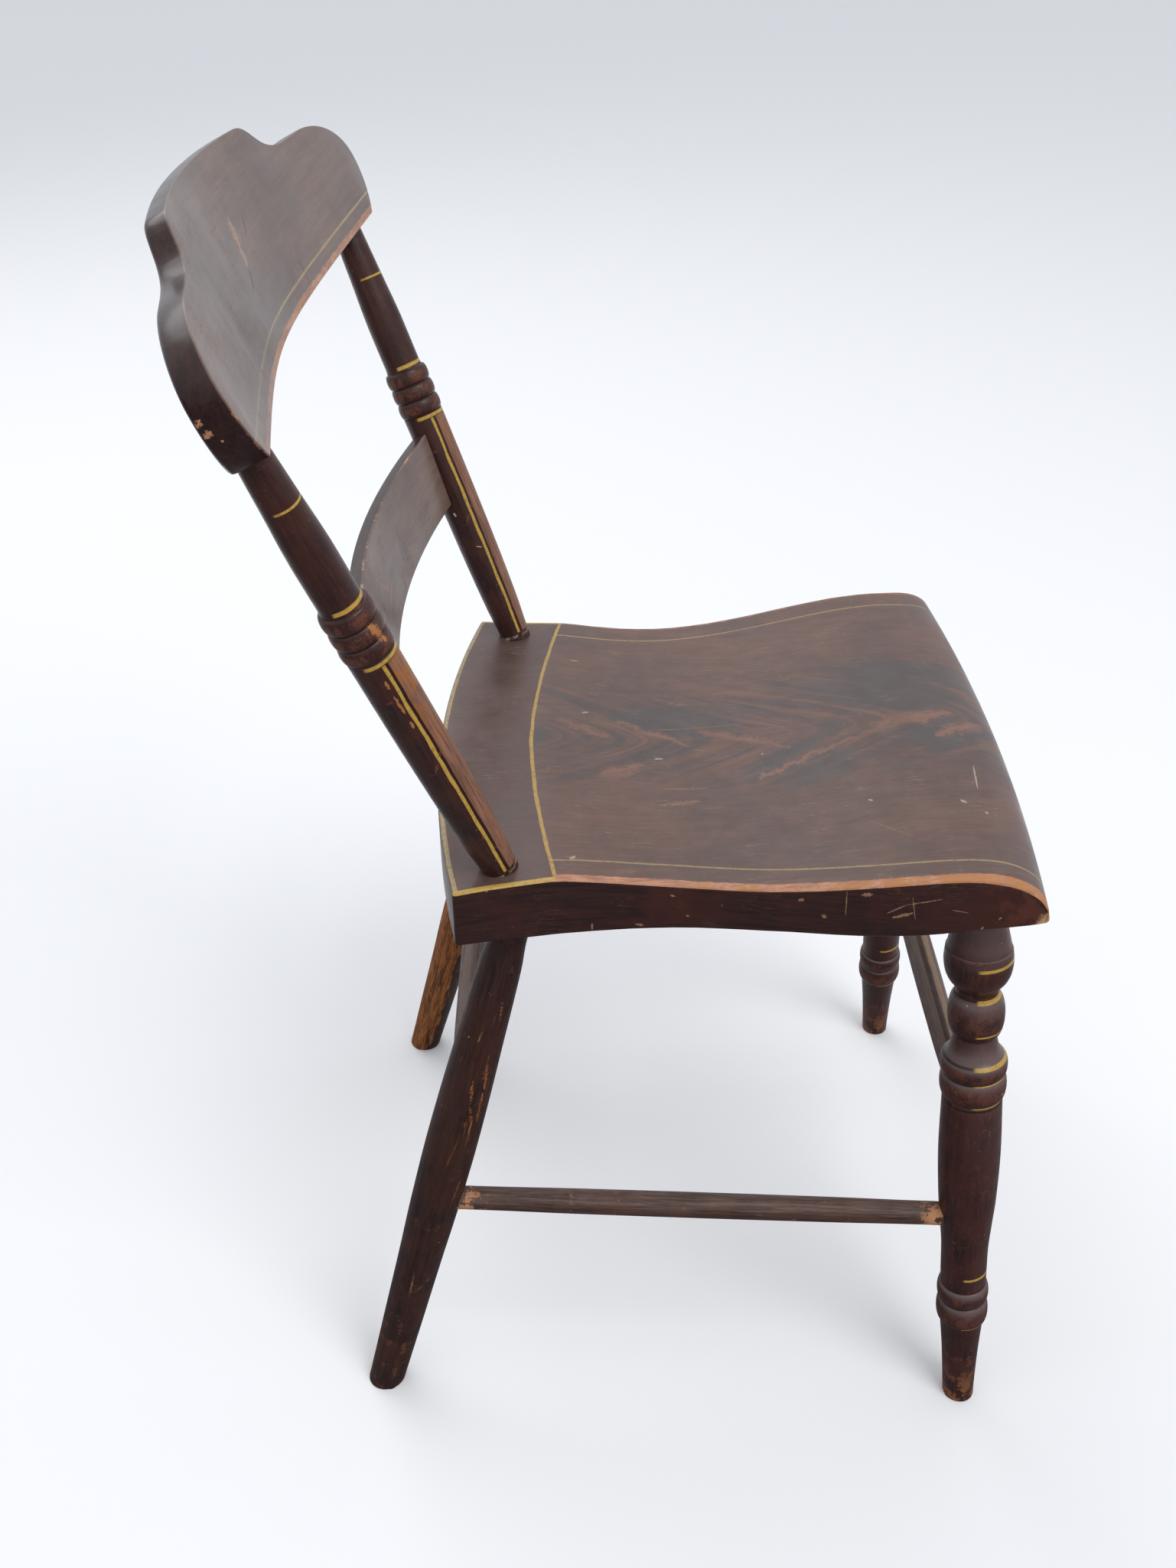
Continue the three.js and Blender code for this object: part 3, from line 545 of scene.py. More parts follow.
def mid_rail():
    low, high = rail_half(0), rail_half(RAIL_HEIGHT)
    outline = [Vector((low, 0, 0)), Vector((high, 0, RAIL_HEIGHT)), Vector((-high, 0, RAIL_HEIGHT)), Vector((-low, 0, 0)),
               Vector((low, 0, 0))]
    piece = flat_board("rail_board", outline, RAIL_THICKNESS)
    bpy.ops.mesh.remove_doubles(threshold=1e-5)
    select_mode("EDGE")
    pick("edges", lambda e: abs(e.verts[0].co.x - e.verts[1].co.x) > 0.1)
    bpy.ops.mesh.bevel(offset=0.0016, segments=3, profile=0.6)
    slice_board(high, 36)
    bow_board(lambda s: rail_back(s) - RAIL_THICKNESS / 2)
    lean_board(piece, POST_LEAN, rail_origin())
    clean_piece(piece, 32)
    return piece


# Finishes. Colours are given as they look on a screen

def tone(red, green, blue):
    def plain(value):
        value /= 255
        return value / 12.92 if value <= 0.04045 else ((value + 0.055) / 1.055) ** 2.4
    return (plain(red), plain(green), plain(blue), 1.0)


STRIPE_YELLOW = tone(190, 152, 66)
STRIPE_PALE = tone(176, 150, 98)
RUBBED_TAN = tone(198, 142, 108)
RUBBED_ORANGE = tone(176, 112, 52)
BARE_WOOD = tone(206, 170, 126)
CHIP_PALE = tone(214, 190, 164)


class Bench:
    """Lays out one node tree and joins its sockets as nodes are added."""

    def __init__(self, tree):
        self.tree = tree
        self.count = 0

    def join(self, value, socket):
        if isinstance(value, bpy.types.NodeSocket):
            self.tree.links.new(value, socket)
        elif value is not None:
            socket.default_value = value

    def add(self, kind, values=None, **settings):
        node = self.tree.nodes.new(kind)
        node.location = (self.count // 8 * 220, -(self.count % 8) * 190)
        self.count += 1
        for name, value in settings.items():
            setattr(node, name, value)
        for key, value in (values or {}).items():
            self.join(value, node.inputs[key])
        return node

    def sum(self, work, a, b=None, c=None, clamp=False):
        return self.add("ShaderNodeMath", {0: a, 1: b, 2: c}, operation=work, use_clamp=clamp).outputs[0]

    def plus(self, a, b, clamp=False):
        return self.sum("ADD", a, b, clamp=clamp)

    def minus(self, a, b, clamp=False):
        return self.sum("SUBTRACT", a, b, clamp=clamp)

    def product(self, *values):
        total = values[0]
        for value in values[1:]:
            total = self.sum("MULTIPLY", total, value)
        return total

    def most(self, *values):
        total = values[0]
        for value in values[1:]:
            total = self.sum("MAXIMUM", total, value)
        return total

    def without(self, value):
        return self.minus(1.0, value, clamp=True)

    def arrow(self, work, a, b=None):
        node = self.add("ShaderNodeVectorMath", {0: a, 1: b}, operation=work)
        return node.outputs["Value" if work in ("LENGTH", "DOT_PRODUCT", "DISTANCE") else "Vector"]

    def rise(self, value, low, high):
        """From 0 at low to 1 at high, smoothly, or the other way where low is the greater."""
        node = self.add("ShaderNodeMapRange", {"Value": value, "From Min": low, "From Max": high},
                        interpolation_type="SMOOTHSTEP")
        return node.outputs["Result"]

    def within(self, value, low, high, soft):
        return self.product(self.rise(value, low - soft, low + soft), self.rise(value, high + soft, high - soft))

    def blend(self, share, under, over):
        node = self.add("ShaderNodeMix", data_type="RGBA")
        for socket, value in ((0, share), (6, under), (7, over)):
            self.join(value, node.inputs[socket])
        return node.outputs[2]

    def noise(self, place, scale, detail=3.0, roughness=0.55, distortion=0.0):
        return self.add("ShaderNodeTexNoise", {"Vector": place, "Scale": scale, "Detail": detail, "Roughness": roughness,
                                               "Distortion": distortion}).outputs[0]

    def split(self, place):
        return self.add("ShaderNodeSeparateXYZ", {0: place}).outputs

    def gather(self, x, y, z):
        return self.add("ShaderNodeCombineXYZ", {0: x, 1: y, 2: z}).outputs[0]

    def use(self, tree, **values):
        """Places a shared effect with this material's own values and gives its first output."""
        node = self.add("ShaderNodeGroup", node_tree=tree)
        for name, value in values.items():
            self.join(value, node.inputs[name.replace("_", " ").title()])
        return node.outputs[0]

    def place(self, origin, turn=(0, 0, 0)):
        """Object coordinates in millimetres, measured from origin in a frame turned with the piece."""
        start = self.add("ShaderNodeTexCoord").outputs["Object"]
        mapping = self.add("ShaderNodeMapping", {"Vector": start, "Location": origin, "Rotation": turn,
                                                 "Scale": (MM, MM, MM)}, vector_type="TEXTURE")
        return mapping.outputs[0]

    def upward(self):
        facing = self.add("ShaderNodeTexCoord").outputs["Normal"]
        return self.split(facing)[2]


def shared_effect(name, inputs, output):
    """A node group with named sockets: numbers are plain values and None stands for a place."""
    tree = bpy.data.node_groups.new(name, "ShaderNodeTree")
    for label, value in inputs.items():
        if value is None or isinstance(value, tuple):
            socket = tree.interface.new_socket(name=label, in_out="INPUT", socket_type="NodeSocketVector")
        else:
            socket = tree.interface.new_socket(name=label, in_out="INPUT", socket_type="NodeSocketFloat")
        if value is not None:
            socket.default_value = value
    tree.interface.new_socket(name=output, in_out="OUTPUT", socket_type="NodeSocketFloat")
    bench = Bench(tree)
    return bench, bench.add("NodeGroupInput").outputs, bench.add("NodeGroupOutput").inputs


def make_grain_lines():
    """Long brushed or grown streaks: the place is squeezed along the grain before the noise is read."""
    bench, given, result = shared_effect("grain_lines", {"Place": None, "Squeeze": (1.0, 1.0, 1.0), "Fineness": 0.2,
                                                         "Low": 0.4, "High": 0.6}, "Grain")
    stretched = bench.arrow("MULTIPLY", given["Place"], given["Squeeze"])
    coarse = bench.noise(stretched, given["Fineness"], 5, 0.62, 0.3)
    fine = bench.noise(stretched, bench.product(given["Fineness"], 3.7), 3, 0.6)
    both = bench.plus(bench.product(coarse, 0.66), bench.product(fine, 0.34))
    bench.join(bench.rise(both, given["Low"], given["High"]), result["Grain"])
    return bench.tree


def make_worn_places():
    """Patches where the paint is rubbed thin or away, more of them where the edge value is high."""
    bench, given, result = shared_effect("worn_places", {"Place": None, "Patch": 20.0, "Amount": 0.4, "Edge": 0.0,
                                                         "Soft": 0.04}, "Worn")
    size = bench.sum("DIVIDE", 1.0, given["Patch"])
    coarse = bench.noise(given["Place"], size, 4, 0.6)
    fine = bench.noise(given["Place"], bench.product(size, 5.0), 3, 0.6)
    both = bench.plus(bench.product(coarse, 0.68), bench.product(fine, 0.32))
    raised = bench.plus(both, given["Edge"])
    limit = bench.minus(1.0, given["Amount"])
    worn = bench.rise(raised, bench.minus(limit, given["Soft"]), bench.plus(limit, given["Soft"]))
    bench.join(worn, result["Worn"])
    return bench.tree


def make_pinstripe():
    """A line of paint laid by a thin brush: it wanders, swells and has rubbed gaps."""
    bench, given, result = shared_effect("pinstripe", {"Place": None, "Across": 0.0, "Width": 1.6, "Gaps": 0.4}, "Stripe")
    wander = bench.product(bench.minus(bench.noise(given["Place"], 0.03, 2), 0.5), given["Width"], 0.7)
    swell = bench.plus(0.36, bench.product(bench.noise(given["Place"], 0.07, 2), 0.34))
    half = bench.product(given["Width"], swell)
    away = bench.sum("ABSOLUTE", bench.plus(given["Across"], wander))
    line = bench.rise(away, bench.product(half, 1.25), bench.product(half, 0.75))
    rubbed = bench.rise(bench.noise(given["Place"], 0.35, 5, 0.65), 0.5, 0.62)
    bench.join(bench.product(line, bench.without(bench.product(rubbed, given["Gaps"]))), result["Stripe"])
    return bench.tree


def make_scratch_mark():
    """One mark between two points, tapered at its ends and ragged along its length."""
    bench, given, result = shared_effect("scratch_mark", {"Place": None, "Start": (0.0, 0.0, 0.0), "End": (1.0, 0.0, 0.0),
                                                          "Width": 1.0, "Ragged": 0.4, "Soft": 0.3}, "Mark")
    run = bench.arrow("SUBTRACT", given["End"], given["Start"])
    reach = bench.arrow("SUBTRACT", given["Place"], given["Start"])
    share = bench.sum("DIVIDE", bench.arrow("DOT_PRODUCT", reach, run), bench.arrow("DOT_PRODUCT", run, run), clamp=True)
    scaled = bench.add("ShaderNodeVectorMath", {0: run, "Scale": share}, operation="SCALE").outputs["Vector"]
    away = bench.arrow("LENGTH", bench.arrow("SUBTRACT", reach, scaled))
    taper = bench.minus(1.0, bench.product(bench.sum("POWER", bench.sum(
        "ABSOLUTE", bench.minus(bench.product(share, 2.0), 1.0)), 3.0), 0.75))
    breaks = bench.product(bench.rise(bench.noise(given["Place"], 0.55, 4, 0.7), 0.42, 0.6), given["Ragged"])
    half = bench.product(given["Width"], 0.5, taper, bench.without(breaks))
    outer = bench.product(half, bench.plus(1.0, given["Soft"]))
    inner = bench.product(half, bench.minus(0.6, bench.product(given["Soft"], 0.4), clamp=True))
    bench.join(bench.rise(away, outer, inner), result["Mark"])
    return bench.tree


def make_small_chips():
    """Scattered pale dots where the paint is nicked."""
    bench, given, result = shared_effect("small_chips", {"Place": None, "Spacing": 20.0, "Share": 0.3, "Size": 1.0}, "Chips")
    bent = bench.arrow("ADD", given["Place"], bench.add("ShaderNodeTexNoise", {
        "Vector": given["Place"], "Scale": 0.6, "Detail": 3.0}).outputs["Color"])
    cells = bench.add("ShaderNodeTexVoronoi", {"Vector": bent, "Scale": bench.sum("DIVIDE", 1.0, given["Spacing"])})
    pick_one, how_big, _ = bench.split(cells.outputs["Color"])
    chosen = bench.sum("LESS_THAN", pick_one, given["Share"])
    reach = bench.product(bench.sum("DIVIDE", given["Size"], given["Spacing"]), bench.plus(0.25, how_big))
    dot = bench.rise(cells.outputs["Distance"], reach, bench.product(reach, 0.6))
    bench.join(bench.product(dot, chosen), result["Chips"])
    return bench.tree


def make_hairlines():
    """Fine long scratches in the varnish, gathered in loose groups."""
    bench, given, result = shared_effect("hairlines", {"Place": None, "Squeeze": (1.0, 0.04, 1.0), "Amount": 0.5}, "Hairlines")
    stretched = bench.arrow("MULTIPLY", given["Place"], given["Squeeze"])
    ridge = bench.sum("ABSOLUTE", bench.minus(bench.noise(stretched, 0.55, 2, 0.5, 0.4), 0.5))
    groups = bench.rise(bench.noise(given["Place"], 0.03, 3), 0.5, 0.66)
    thin = bench.rise(ridge, 0.014, 0.004)
    bench.join(bench.product(thin, groups, given["Amount"]), result["Hairlines"])
    return bench.tree


def make_dust_and_sheen():
    """A thin grey bloom on what faces up: partly settled dust, partly painted sheen."""
    bench, given, result = shared_effect("dust_and_painted_sheen", {"Place": None, "Upward": 0.0, "Amount": 0.3}, "Haze")
    lies = bench.rise(given["Upward"], 0.15, 0.95)
    cloud = bench.rise(bench.noise(given["Place"], 0.06, 5, 0.65), 0.3, 0.7)
    bench.join(bench.product(lies, bench.plus(0.45, bench.product(cloud, 0.55)), given["Amount"]), result["Haze"])
    return bench.tree


GRAIN = make_grain_lines()
WORN = make_worn_places()
STRIPE = make_pinstripe()
MARK = make_scratch_mark()
CHIPS = make_small_chips()
HAIRLINES = make_hairlines()
DUST_AND_SHEEN = make_dust_and_sheen()


def new_finish(name):
    material = bpy.data.materials.new(name)
    material.use_nodes = True
    return material, Bench(material.node_tree)


def finish(bench, colour, roughness, height, depth=0.35, shine=0.5):
    """Joins the colour, roughness and relief to the material's own shader; depth is in millimetres."""
    shader = bench.tree.nodes["Principled BSDF"]
    bench.join(colour, shader.inputs["Base Color"])
    bench.join(roughness, shader.inputs["Roughness"])
    relief = bench.add("ShaderNodeBump", {"Height": height, "Distance": depth * MM, "Strength": 1.0})
    bench.join(relief.outputs[0], shader.inputs["Normal"])
    shader.inputs["Specular IOR Level"].default_value = shine


def seat_edge(bench, y):
    """Half the seat's width at each place along it, as a material reads it."""
    return curve_at(bench, y, SEAT_EDGE, SEAT_NOSE_Y, SEAT_REAR_CORNER_Y, 155.0, 40.0)


def uneven_gloss(bench, place, scale, reach):
    """How much rougher each place is where the varnish is handled."""
    return bench.product(bench.rise(bench.noise(place, scale, 5, 0.6), 0.3, 0.7), reach)


# Greys what faces up: settled dust together with painted sheen.
def settle_dust_and_sheen(bench, place, colour, amount, shade):
    haze = bench.use(DUST_AND_SHEEN, place=place, upward=bench.upward(), amount=amount)
    return bench.blend(haze, colour, shade)


def curve_at(bench, value, known, low, high, base, reach):
    """Reads a measured edge of the seat: known pairs give the edge at each place between low and high."""
    share = bench.sum("DIVIDE", bench.minus(value, low), high - low)
    node = bench.add("ShaderNodeFloatCurve", {"Value": share})
    line = node.mapping.curves[0]
    for i, (at, edge) in enumerate(known):
        spot = ((at - low) / (high - low), (edge - base) / reach)
        if i == 0:
            line.points[0].location = spot
        elif i == len(known) - 1:
            line.points[-1].location = spot
        else:
            line.points.new(*spot)
    node.mapping.update()
    return bench.plus(bench.product(node.outputs[0], reach), base)


def marks(bench, place, listed, ragged=0.5, soft=0.3):
    """The strongest of the listed marks, each a start, an end and a width in millimetres."""
    strongest = 0.0
    for start, end, width in listed:
        mark = bench.use(MARK, place=place, start=start, end=end, width=width, ragged=ragged, soft=soft)
        strongest = bench.sum("MAXIMUM", strongest, mark)
    return strongest


def on_seat(listed):
    return [((*start, 0.0), (*end, 0.0), width) for start, end, width in listed]


def on_side(listed):
    return [((0.0, *start), (0.0, *end), width) for start, end, width in listed]


def soft_spot(bench, x, y, centre, reach):
    """1 at the middle of an upright ellipse on the seat and 0 outside it."""
    across = bench.sum("DIVIDE", bench.minus(x, centre[0]), reach[0])
    along = bench.sum("DIVIDE", bench.minus(y, centre[1]), reach[1])
    away = bench.sum("SQRT", bench.plus(bench.product(across, across), bench.product(along, along)))
    return bench.rise(away, 1.15, 0.45)


def seat_top_finish():
    material, bench = new_finish("seat_top_paint")
    place = bench.place((0, MIDDLE * MM, 0))
    x, y, _ = bench.split(place)
    flat = bench.gather(x, y, 0.0)
    from_middle = bench.sum("ABSOLUTE", x)
    half = seat_edge(bench, y)
    margin = bench.minus(half, from_middle)
    share = bench.sum("DIVIDE", x, half)
    rear_edge = bench.minus(SEAT_REAR_Y, bench.product(share, share, SEAT_REAR_Y - SEAT_REAR_CORNER_Y))
    rear_margin = bench.minus(rear_edge, y)
    outward = bench.sum("POWER", bench.sum("DIVIDE", from_middle, 158.0), 1.7)
    cross = bench.minus(CROSS_LINE_Y, bench.product(outward, CROSS_LINE_BOW))
    behind = bench.rise(bench.minus(y, cross), -0.5, 0.5)
    ahead = bench.without(behind)

    # Two browns brushed together from front to back
    cloud = bench.rise(bench.noise(flat, 0.011, 4, 0.6), 0.36, 0.64)
    brushed = bench.use(GRAIN, place=flat, squeeze=(1.0, 0.12, 1.0), fineness=0.13, low=0.36, high=0.64)
    colour = bench.blend(cloud, tone(84, 63, 56), tone(106, 73, 61))
    colour = bench.blend(bench.product(brushed, 0.5), colour, tone(74, 53, 48))
    fibres = bench.use(GRAIN, place=flat, squeeze=(1.0, 0.06, 1.0), fineness=0.6, low=0.5, high=0.68)
    colour = bench.blend(bench.product(fibres, 0.3), colour, tone(136, 102, 86))
    # Painted shade: the raised part behind the cross line is darkened.
    colour = bench.blend(bench.product(behind, 0.55), colour, tone(66, 40, 35))

    # The feather that the grainer drew down the middle, its strokes meeting towards the front
    bent = bench.sum("SQRT", bench.plus(bench.product(x, x), 60.0))
    stroke_line = bench.minus(y, bench.product(bent, 1.85))
    feather_place = bench.gather(bench.product(stroke_line, 0.075), bench.product(bent, 0.018), 0.0)
    strokes = bench.noise(feather_place, 1.0, 5, 0.62, 0.6)
    reach = bench.product(bench.rise(bench.sum("ABSOLUTE", bench.minus(x, 8.0)), 92.0, 22.0), ahead)
    dark_strokes = bench.product(bench.rise(strokes, 0.47, 0.62), reach)
    pale_strokes = bench.product(bench.rise(strokes, 0.46, 0.33), reach)
    colour = bench.blend(bench.product(dark_strokes, 0.72), colour, tone(62, 56, 57))
    colour = bench.blend(bench.product(pale_strokes, 0.55), colour, tone(128, 84, 64))
    pools = bench.most(soft_spot(bench, x, y, (44.0, -150.0), (44.0, 78.0)), soft_spot(bench, x, y, (-40.0, -82.0), (34.0, 44.0)),
                       soft_spot(bench, x, y, (26.0, -8.0), (24.0, 62.0)), soft_spot(bench, x, y, (-22.0, -176.0), (26.0, 34.0)))
    ragged = bench.rise(bench.plus(pools, bench.product(bench.minus(strokes, 0.5), 2.6)), 0.1, 1.05)
    colour = bench.blend(bench.product(ragged, 0.72), colour, tone(66, 61, 62))
    bend = bench.add("ShaderNodeTexNoise", {"Vector": flat, "Scale": 0.05, "Detail": 4.0}).outputs["Color"]
    bend = bench.arrow("MULTIPLY", bench.arrow("SUBTRACT", bend, (0.5, 0.5, 0.5)), (22.0, 22.0, 0.0))
    brushy = bench.arrow("ADD", flat, bend)
    rusty = marks(bench, brushy, on_seat(RUSTY_STROKES), 0.75, 1.4)
    streaky = bench.plus(0.35, bench.product(bench.rise(strokes, 0.4, 0.6), 0.65))
    colour = bench.blend(bench.product(rusty, streaky, 0.7), colour, tone(142, 96, 74))

    # Rubbed and scratched places
    smears = marks(bench, flat, on_seat(SMEARS), 0.9, 0.8)
    smears = bench.product(smears, bench.plus(0.3, bench.product(fibres, 0.7)))
    nicks = marks(bench, flat, on_seat(NICKS), 0.5)
    hairs = bench.use(HAIRLINES, place=flat, squeeze=(1.0, 0.05, 1.0), amount=0.8)
    chips = bench.use(CHIPS, place=flat, spacing=23.0, share=0.22, size=1.1)
    colour = bench.blend(bench.product(hairs, 0.6), colour, tone(168, 138, 118))
    colour = bench.blend(bench.product(chips, 0.8), colour, tone(178, 148, 124))
    colour = bench.blend(bench.product(smears, 0.75), colour, tone(186, 138, 96))
    colour = bench.blend(bench.product(nicks, 0.5), colour, CHIP_PALE)

    # Painted lines
    cross_line = bench.product(bench.use(STRIPE, place=flat, across=bench.minus(y, cross), width=2.2, gaps=0.4), 0.85)
    side_lines = bench.use(STRIPE, place=flat, across=bench.minus(margin, SIDE_LINE_MARGIN), width=1.4, gaps=0.5)
    side_lines = bench.product(side_lines, ahead, 0.6)
    rear_line = bench.use(STRIPE, place=flat, across=bench.minus(rear_margin, 2.2), width=2.6, gaps=0.45)
    short_line = bench.use(STRIPE, place=flat, across=bench.minus(margin, 1.6), width=3.2, gaps=0.25)
    short_line = bench.product(short_line, behind)
    colour = bench.blend(side_lines, colour, STRIPE_PALE)
    colour = bench.blend(bench.product(rear_line, 0.8), colour, STRIPE_PALE)
    colour = bench.blend(bench.most(cross_line, short_line), colour, STRIPE_YELLOW)

    # The long edges, rubbed to the wood
    edge_noise = bench.product(bench.minus(bench.noise(place, 0.16, 5, 0.65), 0.5), 3.6)
    frontward = bench.rise(y, 60.0, -190.0)
    nearer = bench.rise(x, 1.0, -1.0)
    rub_width = bench.plus(2.6, bench.product(nearer, bench.plus(2.6, bench.product(frontward, 1.8))))
    rubbed = bench.product(bench.rise(bench.plus(margin, edge_noise), bench.plus(rub_width, 0.9),
                                      bench.minus(rub_width, 0.6)), ahead)
    rub_streaks = bench.use(GRAIN, place=place, squeeze=(1.0, 0.12, 1.0), fineness=0.45, low=0.35, high=0.62)
    more_orange = bench.plus(0.4, bench.product(frontward, 0.14))
    orange = bench.use(WORN, place=place, patch=16.0, amount=more_orange, edge=0.0, soft=0.06)
    rub_colour = bench.blend(rub_streaks, tone(150, 100, 78), RUBBED_TAN)
    rub_colour = bench.blend(bench.product(orange, 0.8), rub_colour, RUBBED_ORANGE)
    colour = bench.blend(bench.product(rubbed, bench.plus(0.55, bench.product(nearer, 0.4))), colour, rub_colour)

    colour = broken_corner(bench, place, colour)
    # Grey on what faces up: settled dust and painted sheen.
    colour = settle_dust_and_sheen(bench, flat, colour, 0.1, tone(160, 150, 144))
    bare = bench.most(rubbed, bench.product(smears, 0.8))
    patchy = uneven_gloss(bench, flat, 0.03, 0.12)
    roughness = bench.plus(bench.plus(0.3, patchy), bench.product(bare, 0.24), clamp=True)
    height = bench.plus(bench.product(brushed, 0.16), bench.product(bench.most(cross_line, short_line, side_lines), 0.16))
    height = bench.minus(height, bench.product(bench.most(nicks, smears, rubbed, hairs), 0.5))
    finish(bench, colour, roughness, height, 0.3)
    return material


def broken_corner(bench, place, colour):
    """Bare wood where the front corner on the sitter's right has broken away."""
    corner = bench.arrow("DISTANCE", place, (-186.0, -207.0, 429.0))
    broken = bench.rise(bench.plus(corner, bench.product(bench.noise(place, 0.25, 4), 7.0)), 13.5, 10.0)
    return bench.blend(broken, colour, bench.blend(bench.noise(place, 0.5, 4), tone(170, 120, 82), BARE_WOOD))


def seat_side_finish():
    """The sides of the plank: darker, with scrapes and one broken corner at the front."""
    material, bench = new_finish("seat_side_paint")
    place = bench.place((0, MIDDLE * MM, 0))
    x, y, z = bench.split(place)
    run = bench.gather(0.0, y, z)
    side_grain = bench.use(GRAIN, place=run, squeeze=(1.0, 0.07, 1.0), fineness=0.3, low=0.38, high=0.62)
    red_patch = bench.rise(bench.noise(run, 0.02, 3), 0.42, 0.66)
    side_colour = bench.blend(side_grain, tone(38, 20, 19), tone(56, 30, 25))
    side_colour = bench.blend(bench.product(red_patch, 0.6), side_colour, tone(72, 34, 26))
    right_side = bench.rise(x, 0.0, -1.0)
    scrapes = bench.product(marks(bench, run, on_side(SIDE_SCRAPES), 0.65), right_side)
    side_hairs = bench.use(HAIRLINES, place=run, squeeze=(1.0, 0.06, 1.0), amount=0.6)
    side_chips = bench.use(CHIPS, place=run, spacing=17.0, share=0.22, size=0.9)
    side_colour = bench.blend(bench.product(side_hairs, 0.5), side_colour, tone(128, 88, 66))
    side_colour = bench.blend(bench.product(bench.most(scrapes, side_chips), 0.55), side_colour, tone(184, 136, 104))
    lower_rub = bench.product(bench.use(WORN, place=run, patch=26.0, amount=0.46, edge=0.0, soft=0.06), bench.rise(y, -150.0, -196.0))
    side_colour = bench.blend(bench.product(lower_rub, 0.5), side_colour, tone(104, 56, 38))
    colour = broken_corner(bench, place, side_colour)
    patchy = uneven_gloss(bench, run, 0.05, 0.12)
    roughness = bench.plus(0.3, patchy)
    height = bench.minus(bench.product(side_grain, 0.2), bench.product(bench.most(scrapes, side_chips, side_hairs), 0.5))
    finish(bench, colour, roughness, height, 0.3, 0.3)
    return material


def seat_under_finish():
    """The underside was never painted, only splashed at its edges."""
    material, bench = new_finish("seat_under_wood")
    place = bench.place((0, MIDDLE * MM, 0))
    x, y, _ = bench.split(place)
    flat = bench.gather(x, y, 0.0)
    margin = bench.minus(seat_edge(bench, y), bench.sum("ABSOLUTE", x))
    grain = bench.use(GRAIN, place=flat, squeeze=(1.0, 0.05, 1.0), fineness=0.22, low=0.34, high=0.66)
    colour = bench.blend(grain, tone(76, 56, 42), tone(128, 98, 70))
    rim = bench.most(bench.rise(margin, 34.0, 4.0), bench.rise(y, -176.0, -206.0))
    splash = bench.use(WORN, place=flat, patch=30.0, amount=0.36, edge=bench.product(rim, 0.34), soft=0.05)
    colour = bench.blend(splash, colour, tone(52, 33, 29))
    roughness = bench.minus(0.78, bench.product(splash, 0.3))
    height = bench.plus(bench.product(grain, 0.4), bench.product(splash, 0.2))
    finish(bench, colour, roughness, height, 0.4, 0.3)
    return material


